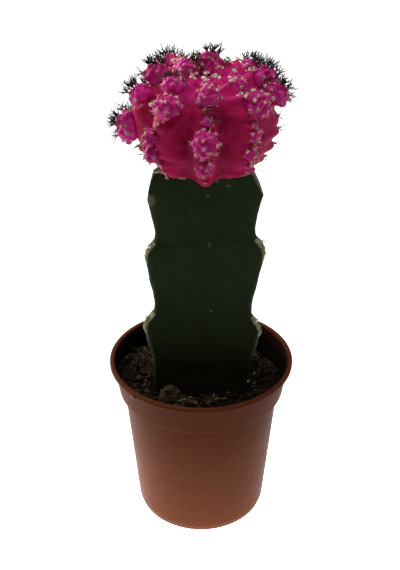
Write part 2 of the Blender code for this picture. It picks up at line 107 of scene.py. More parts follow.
def noise(tree, size, detail=3.0, roughness=0.55, stretch=None):
    """Cloudy noise on the object's own coordinates, with features of about this size in metres."""
    place = add(tree, "TexCoord", {}, output=3)
    if stretch:
        place = add(tree, "Mapping", {"Vector": place, "Scale": stretch})
    values = {"Vector": place, "Scale": 1.0 / size, "Detail": detail, "Roughness": roughness}
    return add(tree, "TexNoise", values)


def between(tree, value, low, high):
    """Goes smoothly from 0 where value is at low to 1 where it is at high."""
    values = {"Value": value, "From Min": low, "From Max": high}
    return add(tree, "MapRange", values, interpolation_type="SMOOTHSTEP")


def product(tree, first, second):
    """The two values multiplied."""
    return add(tree, "Math", {0: first, 1: second}, operation="MULTIPLY")


def patchy(tree, value, low, high):
    """Goes evenly from low to high as value goes from 0 to 1."""
    return add(tree, "MapRange", {0: value, 3: low, 4: high})


def new_finish(name, sockets):
    """A material, its node tree and its Principled shader, whose sockets hold these uniform values."""
    material = bpy.data.materials.new(name)
    material.use_nodes = True
    shader = material.node_tree.nodes["Principled BSDF"]
    for key, value in sockets.items():
        shader.inputs[key].default_value = value
    return material, material.node_tree, shader.inputs


white_table, tree, shader = new_finish(
    "white_table",
    {"Roughness": 0.95, "Specular IOR Level": 0.1, "Emission Color": (1.0, 1.0, 1.0, 1.0)},
)
on_table = add(tree, "TexCoord", {}, output=3)
from_spot = add(tree, "VectorMath", {0: on_table, 1: (SPOT_X, 0.0, 0.0)}, output=1, operation="DISTANCE")
backwards = between(tree, add(tree, "SeparateXYZ", {0: on_table}, output=1), GLOW_FRONT_Y, GLOW_BACK_Y)
sheet = patchy(tree, backwards, GLOW_FRONT, GLOW_BACK)
spot = product(tree, between(tree, from_spot, SPOT_RADIUS, 0.0), SPOT_GLOW)
feed(tree, shader["Emission Strength"], add(tree, "Math", {0: sheet, 1: spot}))
table_white = mixed(tree, noise(tree, 0.2), (0.62, 0.62, 0.62, 1), (0.64, 0.64, 0.64, 1))
feed(tree, shader["Base Color"], table_white)
floor_mesh = bpy.data.meshes.new("floor")
floor_corners = [(x * FLOOR_HALF, y * FLOOR_HALF, 0.0) for x, y in ((-1, -1), (1, -1), (1, 1), (-1, 1))]
floor_mesh.from_pydata(floor_corners, [], [(0, 1, 2, 3)])
floor_mesh.materials.append(white_table)
floor = bpy.data.objects.new("floor", floor_mesh)
bpy.context.scene.collection.objects.link(floor)

for name, place, size, power in LAMPS:
    lamp_data = bpy.data.lights.new(name, "AREA")
    lamp_data.shape = "DISK"
    lamp_data.size = size
    lamp_data.energy = power
    lamp = bpy.data.objects.new(name, lamp_data)
    lamp.location = place
    lamp.rotation_euler = (lamp.location - Vector(LAMP_AIM)).to_track_quat("Z", "Y").to_euler()
    bpy.context.scene.collection.objects.link(lamp)

studio_air = bpy.data.worlds.new("studio_air")
studio_air.use_nodes = True
background = studio_air.node_tree.nodes["Background"].inputs
background["Color"].default_value = (1.0, 1.0, 1.0, 1.0)
background["Strength"].default_value = AIR_BRIGHTNESS
bpy.context.scene.world = studio_air
bpy.context.scene.view_settings.view_transform = "Standard"

# Pot. A small nursery pot, injection moulded in brown polypropylene: a narrow foot ring round a
# recessed base with drain holes, a tapered body, a step, a collar and a bead round the rim.
POT_HEIGHT = 0.0546
RIM_RADIUS = 0.0275
BASE_TOP = 0.0020
BASE_UNDERSIDE = 0.0009
GATE_RADIUS = 0.0011
DRAIN_COUNT = 6
DRAIN_CIRCLE = 0.0085
DRAIN_RADIUS = 0.0018
DRAIN_CUT_ROOM = 0.002
POT_COLUMNS = 240
POT_BEND = 0.0004
# (radius, height) from the middle of the underside, up the outside and down the inside.
POT_OUTSIDE = (
    (0.0004, BASE_UNDERSIDE - 0.0003), (GATE_RADIUS, BASE_UNDERSIDE - 0.0002), (0.0014, BASE_UNDERSIDE),
    (0.0124, BASE_UNDERSIDE), (0.0130, 0.0), (0.0146, 0.0), (0.0172, 0.0011), (0.0190, 0.0029),
    (0.0197, 0.0050), (0.0233, 0.0441), (0.0243, 0.0441), (0.0248, 0.0444), (0.0262, 0.0529),
    (RIM_RADIUS, 0.0533), (RIM_RADIUS, POT_HEIGHT), (0.0263, POT_HEIGHT),
)
POT_INSIDE = (
    (0.0260, 0.0540), (0.0257, 0.0525), (0.0239, 0.0443), (0.0224, 0.0434), (0.0188, 0.0055),
    (0.0175, 0.0034), (0.0150, BASE_TOP), (0.0010, BASE_TOP),
)
# The collar and the upper wall are painted darker and redder than the foot, a painted shade, and the foot
# lighter, painted light from the table below.
UPPER_SHADED_BROWNS = (0.082, 0.0205, 0.0072, 1), (0.104, 0.0275, 0.0105, 1)
LOWER_LIT_BROWNS = (0.098, 0.0265, 0.0100, 1), (0.124, 0.0360, 0.0155, 1)


def shell_faces(rows, columns):
    """The quads of a grid whose rows are closed rings, and the triangles to a hub at either end."""
    row = np.arange(rows - 1)[:, None] * columns
    column = np.arange(columns)[None, :]
    after = (column + 1) % columns
    quads = [row + column, row + after, row + columns + after, row + columns + column]
    column, after = column[0], after[0]
    last = (rows - 1) * columns
    first_hub = np.full(columns, rows * columns)
    low = np.stack([after, column, first_hub], axis=-1)
    high = np.stack([last + column, last + after, first_hub + 1], axis=-1)
    return np.stack(quads, axis=-1).reshape(-1, 4), np.concatenate([low, high])


def with_hubs(grids):
    """Each grid's points in one row, followed by the middles of its first and of its last row."""
    copies, rows, columns, size = grids.shape
    ends = [grids[:, :1].mean(axis=2), grids[:, -1:].mean(axis=2)]
    return np.concatenate([grids.reshape(copies, rows * columns, size), *ends], axis=1)


def new_piece(name, finish, grids, **marks):
    """One smooth mesh of closed grids, indexed [copy, row, column, xyz], that rides on the one body.

    Rows run so that a step along the column and then one along the row turn outwards. Each mark is
    indexed [copy, row, column], and its values go to the vertices under its name.
    """
    points = with_hubs(grids)
    copies, size = points.shape[:2]
    first = size * np.arange(copies)[:, None, None]
    faces = []
    for group in shell_faces(*grids.shape[1:3]):
        faces += (group[None] + first).reshape(-1, group.shape[1]).tolist()
    mesh = bpy.data.meshes.new(name)
    mesh.from_pydata(points.reshape(-1, 3).tolist(), [], faces)
    for mark, values in marks.items():
        spread = with_hubs(np.broadcast_to(values, grids.shape[:3])[..., None])
        attribute = mesh.attributes.new(mark, "FLOAT", "POINT")
        attribute.data.foreach_set("value", spread.astype(np.float32).ravel())
    mesh.materials.append(finish)
    mesh.shade_smooth()
    piece = bpy.data.objects.new(name, mesh)
    bpy.context.scene.collection.objects.link(piece)
    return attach(piece, "root")


def rounded(corners, reach, steps=5):
    """A line through corners whose bends are short curves.

    Each is a quadratic curve that starts reach before its corner, or at 0.45 of a shorter side.
    """
    corners = np.array(corners, float)
    before, corner, after = corners[:-2], corners[1:-1], corners[2:]
    back = before - corner
    onward = after - corner
    back *= np.minimum(reach / np.linalg.norm(back, axis=1, keepdims=True), 0.45)
    onward *= np.minimum(reach / np.linalg.norm(onward, axis=1, keepdims=True), 0.45)
    share = np.linspace(0.0, 1.0, steps)[None, :, None]
    bends = corner[:, None] + (1.0 - share) ** 2 * back[:, None] + share**2 * onward[:, None]
    return np.concatenate([corners[:1], bends.reshape(-1, 2), corners[-1:]])


def round_axis(radius, turn, height):
    """Points at this radius from the Z axis, in these directions in radians, at this height."""
    return np.stack([radius * np.cos(turn), radius * np.sin(turn), height + 0.0 * turn], axis=-1)


def turned(profile, columns):
    """A lathe shape: each (radius, height) of the profile carried round the Z axis."""
    turn = np.linspace(0.0, math.tau, columns, endpoint=False)
    return round_axis(profile[:, 0, None], turn, profile[:, 1, None])


def laid_over(tree, value, low, high, under, colour):
    """The colour under where value is at low, with this colour laid over it where value is at high."""
    return mixed(tree, between(tree, value, low, high), under, colour)


def marked(tree, name):
    """The value that a piece's vertices carry under this name."""
    return add(tree, "Attribute", {}, output=2, attribute_name=name)


def relief(tree, height, depth, under=None):
    """A bump of this depth in metres, laid over another one where under gives its normal."""
    values = {"Height": height, "Distance": depth}
    if under is not None:
        values["Normal"] = under
    return add(tree, "Bump", values)


terracotta_plastic, tree, shader = new_finish(
    "terracotta_plastic",
    {"Roughness": 0.46, "Specular IOR Level": 0.02, "Specular Tint": (1.0, 0.55, 0.35, 1.0)},
)
cloud = noise(tree, 0.012, detail=4.0)
grain = noise(tree, 0.0005, detail=2.0)
height = add(tree, "SeparateXYZ", {0: add(tree, "TexCoord", {}, output=3)}, output=2)
# Painted light and shade: the foot's lighter browns give way upwards to the collar's darker, redder ones.
brown = laid_over(tree, grain, 0.35, 0.75, mixed(tree, cloud, *LOWER_LIT_BROWNS), (0.150, 0.0480, 0.0220, 1))
brown = laid_over(tree, height, 0.022, 0.048, brown, mixed(tree, cloud, *UPPER_SHADED_BROWNS))
# Inside, the wall is painted nearly black, a painted shade where little light reaches, and splashed soil
# has dried on it lower down.
brown = mixed(tree, product(tree, marked(tree, "inside"), 0.94), brown, (0.0080, 0.0016, 0.0011, 1))
splashes = noise(tree, 0.0022, 6.0, 0.7)
soiling = add(tree, "Math", {0: splashes, 1: between(tree, height, 0.0535, 0.0475)})
dried_on = product(tree, marked(tree, "inside"), between(tree, soiling, 0.55, 0.85))
feed(tree, shader["Base Color"], mixed(tree, dried_on, brown, (0.0035, 0.0024, 0.0018, 1)))
feed(tree, shader["Roughness"], patchy(tree, cloud, 0.38, 0.56))
feed(tree, shader["Normal"], relief(tree, grain, 0.00006, relief(tree, cloud, 0.0002)))

outside = rounded(POT_OUTSIDE, POT_BEND)
inside = rounded(POT_INSIDE, POT_BEND)
pot_profile = np.concatenate([outside, inside])
below_rim = np.clip((POT_HEIGHT - 0.0001 - pot_profile[:, 1]) / POT_BEND, 0.0, 1.0)
pot_inside = np.where(np.arange(len(pot_profile)) < len(outside), 0.0, below_rim)
pot_grid = turned(pot_profile, POT_COLUMNS)[None]
pot = new_piece("dressed_pot", terracotta_plastic, pot_grid, inside=pot_inside[None, :, None])
drain_ends = np.array([BASE_UNDERSIDE - DRAIN_CUT_ROOM, BASE_TOP + DRAIN_CUT_ROOM])
drain_profile = np.stack([np.full(2, DRAIN_RADIUS), drain_ends], axis=-1)
drain_place = round_axis(DRAIN_CIRCLE, math.tau * np.arange(DRAIN_COUNT) / DRAIN_COUNT, 0.0)
drain_grid = turned(drain_profile, 32)[None] + drain_place[:, None, None]
drains = new_piece("drain_cutter", terracotta_plastic, drain_grid)
drilling = pot.modifiers.new("drains", "BOOLEAN")
drilling.operation = "DIFFERENCE"
drilling.object = drains
bpy.context.view_layer.update()
drilled = bpy.data.meshes.new_from_object(pot.evaluated_get(bpy.context.evaluated_depsgraph_get()))
pot.modifiers.clear()
pot.data = drilled
bpy.data.objects.remove(drains)
pot.data.set_sharp_from_angle(angle=math.radians(40.0))
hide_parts("pot")

# Rootstock. A cut length of a three-ribbed climbing cactus: a dark, waxy green skin, hollow faces,
# corky margins below its woolly areoles, and dried slices where its top corners were trimmed.
STOCK_FOOT_Z = 0.029
STOCK_BURIED_Z = 0.0485
GRAFT_Z = 0.119
RIB_WAIST_RADIUS = 0.0157
RIB_LOBE_HEIGHT = 0.0034
RIB_HALF_THICKNESS = 0.0017
FACE_DISTANCE = 0.0088
STOCK_LEAN = 0.0011
STOCK_LEAN_TOP_Z = 0.100
# How far a rib swells below each notch, as shares of the pitch and of the lobe's height.
LOBE_SHARES = (0.0, 0.05, 0.10, 0.18, 0.40, 0.70, 0.90, 1.0)
LOBE_SWELLS = (0.1, 0.6, 0.88, 1.0, 0.74, 0.24, 0.02, 0.1)
NOTCH_RISE = 0.0014
LAST_PITCH = 0.024
BASE_AREOLE_Z = 0.0512
# Each rib: its direction in degrees, the heights of its areoles, and the slice cut off its top
# corner as the direction that the cut faces, the height where it starts, its distance from the
# axis there and its slope.
STOCK_RIBS = (
    (-30.0, (0.0726, 0.0980, 0.1205), (0.0, 0.1108, 0.0168, 0.50)),
    (90.0, (0.0650, 0.0890, 0.1150), (90.0, 0.1090, 0.0186, 0.60)),
    (210.0, (0.0740, 0.0968, 0.1180), (180.0, 0.1112, 0.0160, 0.23)),
)
# Blemishes on the front face: x, z, half width, half height, all in metres.
STOCK_SCARS = (
    (-0.0137, 0.1114, 0.00120, 0.0019),
    (0.0018, 0.1123, 0.00035, 0.00040),
    (0.0024, 0.0973, 0.00022, 0.0008),
    (0.0028, 0.0759, 0.00030, 0.00030),
    (0.0074, 0.1154, 0.00055, 0.00030),
)
# The cork that runs down the margin below each areole: heights below the notch, and half breadths.
CORK_LENGTH = 0.0068
CORK_BELOW = (0.0, 0.0014, 0.0036, CORK_LENGTH)
CORK_BREADTHS = (0.00040, 0.00060, 0.00030, 0.00014)
CORK_LIFT = 0.00016
MARGIN_BREADTH = 0.00028
CUT_SINK = 0.00010
SCAR_SINK = 0.00008
# The skin darkens downwards, below SHADE_TOP_Z.
SHADE_TOP_Z, SHADE_DEPTH = 0.086, 0.030
STOCK_ROWS = 290
TIP_COLUMNS = 18
FACE_COLUMNS = 62


def unit(vectors):
    """The vectors at length one."""
    return vectors / np.maximum(np.linalg.norm(vectors, axis=-1, keepdims=True), 1e-12)


def compass(degrees):
    """The horizontal unit vector, or vectors, in these directions."""
    turn = np.radians(degrees)
    return np.stack([np.cos(turn), np.sin(turn)], axis=-1)


def bell(away, aside=0.0):
    """A smooth hump: 1 in its middle, a third at a distance of one, and next to nothing at two."""
    return np.exp(-(away**2) - aside**2)


def waves(points, length, seed, count=26):
    """Smooth unevenness around 0: sine waves of about this length that cross in random directions."""
    draw = np.random.default_rng(seed)
    facing = unit(draw.normal(size=(count, 3))) * draw.uniform(0.6, 1.6, (count, 1)) * math.tau / length
    phase = draw.uniform(0.0, math.tau, count)
    total = np.zeros(points.shape[:-1])
    for direction, start in zip(facing, phase):
        total += np.sin(points @ direction + start)
    return total / math.sqrt(count / 2)


def facing_out(grid):
    """The unit normals of a closed grid: its columns' direction crossed with its rows' direction."""
    along_row = np.roll(grid, -1, axis=-2) - np.roll(grid, 1, axis=-2)
    up = np.gradient(grid, axis=-3)
    return unit(np.cross(along_row, up))


def rib_reach(areoles, z):
    """A rib edge's distance from the axis at heights z, with a lobe below the notch at each areole."""
    notches = np.array(areoles) + NOTCH_RISE
    index = np.searchsorted(notches, z)
    above = notches[np.minimum(index, len(notches) - 1)]
    below = notches[np.maximum(index - 1, 0)]
    pitch = np.where(index > 0, above - below, LAST_PITCH)
    swell = np.interp((above - z) / np.maximum(pitch, 1e-6), LOBE_SHARES, LOBE_SWELLS)
    return RIB_WAIST_RADIUS + RIB_LOBE_HEIGHT * np.where(index < len(notches), swell, 0.0)


def stock_axis(z):
    """The x of the rootstock's axis: it leans a little to the right on the way up."""
    rise = (z - STOCK_BURIED_Z) / (STOCK_LEAN_TOP_Z - STOCK_BURIED_Z)
    return STOCK_LEAN * np.clip(rise, 0.0, 1.0)


def stock_outline(z, grow=0.0):
    """The rootstock's outline at each height z, grown outwards, and how far trimming moved its points.

    Three rib tips are arcs, and a quadratic curve whose middle lies at FACE_DISTANCE joins each to
    the next. Points beyond a rib's slanting cut are pushed back along the rib onto the cut.
    """
    level = np.maximum(z, STOCK_BURIED_Z)
    edge = RIB_HALF_THICKNESS
    spans = []
    for index, (direction, areoles, _) in enumerate(STOCK_RIBS):
        after, after_areoles, _ = STOCK_RIBS[(index + 1) % len(STOCK_RIBS)]
        tip = (rib_reach(areoles, level) - edge)[:, None, None] * compass(direction)
        next_tip = (rib_reach(after_areoles, level) - edge)[:, None, None] * compass(after)
        arc = tip + (edge + grow) * compass(direction + np.linspace(-80.0, 80.0, TIP_COLUMNS))
        start = arc[:, -1:]
        end = next_tip + (edge + grow) * compass(after - 80.0)
        outward = compass(direction + 60.0)
        reach = 4.0 * (FACE_DISTANCE + grow) - start @ outward - end @ outward
        pull = outward * reach[..., None] / 2.0
        share = np.linspace(0.0, 1.0, FACE_COLUMNS + 2)[1:-1, None]
        face = (1 - share) ** 2 * start + 2 * share * (1 - share) * pull + share**2 * end
        spans += [arc, face]
    points = np.concatenate(spans, axis=1)
    trimmed = np.zeros(points.shape[:2])
    for _, _, (facing, cut_z, distance, slope) in STOCK_RIBS:
        limit = distance - slope * (z - cut_z) + grow
        beyond = np.maximum(points @ compass(facing) - limit[:, None], 0.0)
        points = points - beyond[..., None] * compass(facing)
        trimmed += beyond
    points[..., 0] += stock_axis(z)[:, None]
    return points, trimmed


stock_z = np.linspace(STOCK_FOOT_Z, GRAFT_Z, STOCK_ROWS)
outline, trimmed = stock_outline(stock_z)
# The outline is averaged over seven rows, which rounds the edges of the notches and the cuts.
weights = bell(np.linspace(-2.0, 2.0, 7))
padded = np.concatenate([outline[:1]] * 3 + [outline] + [outline[-1:]] * 3)
outline = sum(share * padded[i : i + STOCK_ROWS] for i, share in enumerate(weights / weights.sum()))
stock_heights = np.broadcast_to(stock_z[:, None, None], (*outline.shape[:2], 1))
stock = np.concatenate([outline, stock_heights], axis=-1)
stock_normal = facing_out(stock)

# Marks on the skin: the rib margins, the cork under each areole, the dried cuts and the scars. The
# left cut is the greener one.
margin = np.zeros(stock.shape[:2])
cork = np.zeros(stock.shape[:2])
off_axis = stock[..., :2] - np.stack([stock_axis(stock_z), 0.0 * stock_z], axis=-1)[:, None]
for direction, areoles, _ in STOCK_RIBS:
    edge = rib_reach(areoles, np.maximum(stock_z, STOCK_BURIED_Z))[:, None]
    inwards = edge - off_axis @ compass(direction)
    margin = np.maximum(margin, bell(inwards / MARGIN_BREADTH))
    for height in areoles:
        below = height + NOTCH_RISE - stock_z[:, None]
        strip = np.clip(below / 0.0006, 0.0, 1.0) * np.clip((CORK_LENGTH - below) / 0.0012, 0.0, 1.0)
        breadth = np.interp(below, CORK_BELOW, CORK_BREADTHS)
        cork = np.maximum(cork, bell(inwards / breadth) * strip)
dried = np.clip(trimmed / 0.0004, 0.0, 1.0) * np.where(stock[..., 0] < 0.0, 0.45, 1.0)
shaded = np.clip((SHADE_TOP_Z - stock_z[:, None]) / SHADE_DEPTH, 0.0, 1.0)
scar = np.zeros(stock.shape[:2])
for x, z, half_width, half_height in STOCK_SCARS:
    off = ((stock[..., 0] - x) / half_width) ** 2 + ((stock[..., 2] - z) / half_height) ** 2
    scar = np.maximum(scar, np.clip(1.6 - off, 0.0, 1.0) * (stock[..., 1] < 0.0))
rough = waves(stock, 0.0012, 21)
lift = 0.00010 * waves(stock, 0.009, 22) + 0.00002 * rough
lift += cork * (CORK_LIFT + 0.00008 * rough) - dried * CUT_SINK * (1.0 + 0.4 * rough) - SCAR_SINK * scar
stock = stock + stock_normal * lift[..., None]

green_skin, tree, shader = new_finish("green_skin", {"Roughness": 0.5, "Specular IOR Level": 0.025})
mottle = noise(tree, 0.0035, 5.0, 0.6)
cells = noise(tree, 0.00035, 2.0)
streaks = noise(tree, 0.004, 3.0, stretch=(1.0, 1.0, 0.22))
shade = marked(tree, "shaded")
skin = laid_over(tree, streaks, 0.30, 0.75, (0.0185, 0.0275, 0.0120, 1), (0.0215, 0.0345, 0.0130, 1))
skin = laid_over(tree, mottle, 0.45, 0.80, skin, (0.0190, 0.0375, 0.0120, 1))
skin = mixed(tree, shade, skin, (0.0130, 0.0150, 0.0062, 1))
flecks = between(tree, noise(tree, 0.0007, 2.0), 0.72, 0.78)
skin = mixed(tree, product(tree, flecks, 0.35), skin, (0.050, 0.064, 0.032, 1))
# The pale line along the margins, partly the rib's own pale edge and partly a painted highlight along it,
# only shows half-way down.
margin_share = product(tree, marked(tree, "margin"), between(tree, shade, 0.25, 0.6))
margin_share = product(tree, margin_share, between(tree, shade, 1.1, 0.6))
skin = mixed(tree, product(tree, margin_share, 0.5), skin, (0.090, 0.104, 0.055, 1))
corky = laid_over(tree, mottle, 0.35, 0.65, (0.14, 0.135, 0.068, 1), (0.36, 0.34, 0.21, 1))
uneven = between(tree, noise(tree, 0.0009, 4.0), 0.20, 0.45)
skin = laid_over(tree, product(tree, marked(tree, "cork"), uneven), 0.30, 0.60, skin, corky)
slice_tan = mixed(tree, noise(tree, 0.0011, 5.0), (0.022, 0.020, 0.011, 1), (0.15, 0.125, 0.080, 1))
skin = mixed(tree, marked(tree, "dried"), skin, slice_tan)
scar_tan = mixed(tree, mottle, (0.070, 0.080, 0.036, 1), (0.125, 0.120, 0.066, 1))
skin = mixed(tree, marked(tree, "scar"), skin, scar_tan)
feed(tree, shader["Base Color"], skin)
feed(tree, shader["Roughness"], patchy(tree, mottle, 0.42, 0.62))
feed(tree, shader["Normal"], relief(tree, cells, 0.00003, relief(tree, mottle, 0.00015)))

skin_marks = {"margin": margin, "cork": cork, "dried": dried, "scar": scar, "shaded": shaded}
rootstock = new_piece("dressed_rootstock", green_skin, stock[None], **skin_marks)
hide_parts("rootstock")

# Peat. Damp, dark potting peat that fills the pot to a little above its collar's foot, heaped
# against the rootstock's left, and open round the rootstock by a hair's breadth.
SOIL_LEVEL = 0.0469
SOIL_SLOPE = -0.02
MOUND_X, MOUND_Y, MOUND_HEIGHT = -0.016, 0.008, 0.0018
MOUND_SPREAD_X, MOUND_SPREAD_Y = 0.006, 0.008
# The peat is banked up against the pot's wall in this direction, in degrees.
BANK_FACING, BANK_SPREAD, BANK_HEIGHT = 205.0, 55.0, 0.0048
BANK_START, BANK_END, BANK_STEEPNESS = 0.0130, 0.0245, 1.5
PEAT_EDGE_Z = 0.0446
PEAT_HOLE_Z = 0.0430
PEAT_SIDE_LEVELS = (0.0036, 0.0057, 0.0432, 0.0442)
GRAIN_COUNT = 1500
GRAIN_FIELD = 0.0248
GRAIN_SINK = 0.0003
PEAT_COLUMNS = 400
PEAT_ROWS = 88
GAP = 0.0003
grain_draw = np.random.default_rng(31)
grain_swing = grain_draw.uniform(0.0, math.tau, GRAIN_COUNT)
grain_reach = GRAIN_FIELD * np.sqrt(grain_draw.uniform(0.10, 1.0, GRAIN_COUNT))
grain_x = grain_reach * np.cos(grain_swing)
grain_y = grain_reach * np.sin(grain_swing)
grain_radius = 0.0004 + 0.0011 * grain_draw.uniform(0.0, 1.0, GRAIN_COUNT) ** 2.5


def turned_off(angle, facing):
    """How many degrees an angle is turned off a direction, from -180 to 180."""
    return (angle - facing + 180.0) % 360.0 - 180.0


def peat_base(x, y):
    """The peat's height without its grains: a slope, two sets of swells, the mound and the bank."""
    swell = 0.0005 * np.sin(310 * x + 1.2) * np.cos(270 * y - 0.4)
    swell = swell + 0.0003 * np.sin(690 * x - 2.0 + 400 * y)
    mound = MOUND_HEIGHT * bell((x - MOUND_X) / MOUND_SPREAD_X, (y - MOUND_Y) / MOUND_SPREAD_Y)
    aside = turned_off(np.degrees(np.arctan2(y, x)), BANK_FACING)
    outwards = np.clip((np.hypot(x, y) - BANK_START) / (BANK_END - BANK_START), 0.0, 1.0)
    bank = BANK_HEIGHT * bell(aside / BANK_SPREAD) * outwards**BANK_STEEPNESS
    return SOIL_LEVEL + SOIL_SLOPE * y + swell + mound + bank


def peat_height(x, y):
    """The peat's height with the tallest half-sunk grain at each point, each grain a flattened ball."""
    highest = np.zeros(x.shape)
    for group in np.array_split(np.arange(GRAIN_COUNT), 40):
        away = (x[..., None] - grain_x[group]) ** 2 + (y[..., None] - grain_y[group]) ** 2
        dome = 0.8 * np.sqrt(np.maximum(grain_radius[group] ** 2 - away, 0.0))
        highest = np.maximum(highest, dome.max(axis=-1))
    return peat_base(x, y) + highest - GRAIN_SINK


def ring_reach(ring, centre_x, angle):
    """How far a closed outline lies from a point on the X axis, in each direction round it."""
    off = ring - np.array([centre_x, 0.0])
    swing = np.arctan2(off[:, 1], off[:, 0])
    return np.interp(angle, swing, np.linalg.norm(off, axis=1), period=math.tau)


def wall_reach(z):
    """How far the peat reaches at height z: a gap short of the pot's wall a little lower down."""
    inner_wall = np.array(POT_INSIDE)[::-1]
    return np.interp(z - GAP, inner_wall[:, 1], inner_wall[:, 0]) - GAP


angle = np.linspace(0.0, math.tau, PEAT_COLUMNS, endpoint=False)
around = np.stack([np.cos(angle), np.sin(angle)], axis=-1)
wall_z = np.array([BASE_TOP + GAP, *PEAT_SIDE_LEVELS])
hole = ring_reach(stock_outline(np.array([STOCK_BURIED_Z]), GAP)[0][0], 0.0, angle)
edge_z = np.maximum(peat_base(BANK_END * around[:, 0], BANK_END * around[:, 1]), PEAT_EDGE_Z)
edge_reach = wall_reach(edge_z)
share = np.linspace(0.0, 1.0, PEAT_ROWS)[:, None]
surface_reach = edge_reach * (1.0 - share) + hole * share
surface_x = surface_reach * np.cos(angle)
surface_y = surface_reach * np.sin(angle)
surface_z = peat_height(surface_x, surface_y)
surface = np.stack([surface_x, surface_y, surface_z], axis=-1)
surface_z = surface_z + 0.00016 * waves(surface, 0.0011, 32) + 0.00007 * waves(surface, 0.00045, 33)
near_wall = bell(share / 0.03)
surface[..., 2] = np.maximum(surface_z * (1.0 - near_wall) + edge_z * near_wall, PEAT_EDGE_Z)
side = [round_axis(radius, angle, z) for radius, z in zip(wall_reach(wall_z), wall_z)]
hole_wall = [round_axis(hole, angle, z) for z in (PEAT_HOLE_Z, STOCK_FOOT_Z - GAP)]
peat_grid = np.concatenate([side, surface, hole_wall])
mossy = bell((peat_grid[..., 0] - MOUND_X) / 0.0052, (peat_grid[..., 1] - MOUND_Y) / 0.0085)
above = (peat_grid[..., 2] - peat_base(peat_grid[..., 0], peat_grid[..., 1])) / 0.0008
raised = np.clip(above + 0.35, 0.0, 1.0)

peat, tree, shader = new_finish("peat", {"Roughness": 0.92, "Specular IOR Level": 0.05})
clumps = noise(tree, 0.0016, 6.0, 0.7)
crumbs = noise(tree, 0.0004, 4.0, 0.7)
soil = laid_over(tree, clumps, 0.38, 0.72, (0.0090, 0.0058, 0.0040, 1), (0.044, 0.027, 0.017, 1))
soil = laid_over(tree, crumbs, 0.62, 0.80, soil, (0.130, 0.088, 0.054, 1))
mossy_share = product(tree, marked(tree, "mossy"), between(tree, crumbs, 0.48, 0.66))
soil = mixed(tree, mossy_share, soil, (0.190, 0.150, 0.060, 1))
# The hollows between the grains are painted nearly black: painted shade.
soil = laid_over(tree, marked(tree, "raised"), 0.15, 0.85, (0.0030, 0.0024, 0.0018, 1), soil)
feed(tree, shader["Base Color"], soil)
feed(tree, shader["Normal"], relief(tree, crumbs, 0.00025, relief(tree, clumps, 0.0004)))
peat_bed = new_piece("peat_bed", peat, peat_grid[None], mossy=mossy, raised=raised)
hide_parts("soil")

# Loose crumbs. Grains of peat, bark and grit that lie on the bed, and one clod of brown loam in
# front of the rootstock: uneven lumps, each a round grid swollen and dented at random.
CRUMB_COUNT = 620
CRUMB_FIELD = 0.0250
CRUMB_GRID = (5, 8)
# The clod's lumps: x, y, height over the peat, and half sizes.
CLOD_LUMPS = np.array([
    (-0.0088, -0.0132, 0.0018, 0.0025, 0.0021, 0.0025),
    (-0.0107, -0.0144, 0.0006, 0.0016, 0.0015, 0.0015),
    (-0.0071, -0.0126, 0.0010, 0.0013, 0.0013, 0.0015),
])
# Crumbs spilt on the pot's rim: x, y, z, radius and tone.
STRAYS = np.array([
    (-0.0199, -0.0190, 0.0531, 0.00045, 1.0),
    (-0.0190, -0.0199, 0.0536, 0.00040, 0.3),
    (0.0214, -0.0168, 0.0545, 0.00035, 0.9),
])


def ball(rows, columns):
    """A unit ball's directions, from near its foot to near its top."""
    polar = np.linspace(math.pi, 0.0, rows + 2)[1:-1, None]
    swing = np.linspace(0.0, math.tau, columns, endpoint=False)[None, :]
    return round_axis(np.sin(polar), swing, np.cos(polar))


def dented(draw, forms, count, depth):
    """This many grids, made from forms, with each point moved in or out by up to this share."""
    return forms * (1.0 + draw.uniform(-depth, depth, (count, *forms.shape[1:3], 1)))


def random_turns(draw, count):
    """Rotation matrices in random directions."""
    turn, _ = np.linalg.qr(draw.normal(size=(count, 3, 3)))
    return turn * np.sign(np.linalg.det(turn))[:, None, None]


def clear_of_stock(x, y, room):
    """Whether points of the bed lie between the rootstock and the pot's wall, by this much room."""
    swing = np.arctan2(y, x)
    reach = np.hypot(x, y)
    wall = np.interp(swing, angle, edge_reach, period=math.tau)
    return (reach > ring_reach(around * hole[:, None], 0.0, swing) + room) & (reach < wall - room)


crumb_draw = np.random.default_rng(41)
crumb_swing = crumb_draw.uniform(0.0, math.tau, CRUMB_COUNT)
crumb_reach = CRUMB_FIELD * np.sqrt(crumb_draw.uniform(0.16, 1.0, CRUMB_COUNT))
crumb_x = crumb_reach * np.cos(crumb_swing)
crumb_y = crumb_reach * np.sin(crumb_swing)
crumb_size = 0.00022 + 0.0009 * crumb_draw.uniform(0.0, 1.0, CRUMB_COUNT) ** 3.0
kept = clear_of_stock(crumb_x, crumb_y, 1.3 * crumb_size)
crumb_x, crumb_y, crumb_size = crumb_x[kept], crumb_y[kept], crumb_size[kept]
lying = len(crumb_size)
crumb_form = ball(*CRUMB_GRID)[None] * crumb_draw.uniform(0.55, 1.25, (lying, 1, 1, 3))
crumb_form = dented(crumb_draw, crumb_form, lying, 0.22)
crumb_form = np.einsum("nrci,nij->nrcj", crumb_form, random_turns(crumb_draw, lying))
crumb_z = peat_height(crumb_x, crumb_y) + 0.35 * crumb_size
crumb_place = np.stack([crumb_x, crumb_y, crumb_z], axis=-1)
crumb_grid = crumb_place[:, None, None] + crumb_form * crumb_size[:, None, None, None]
crumb_tone = crumb_draw.uniform(0.0, 1.0, lying)

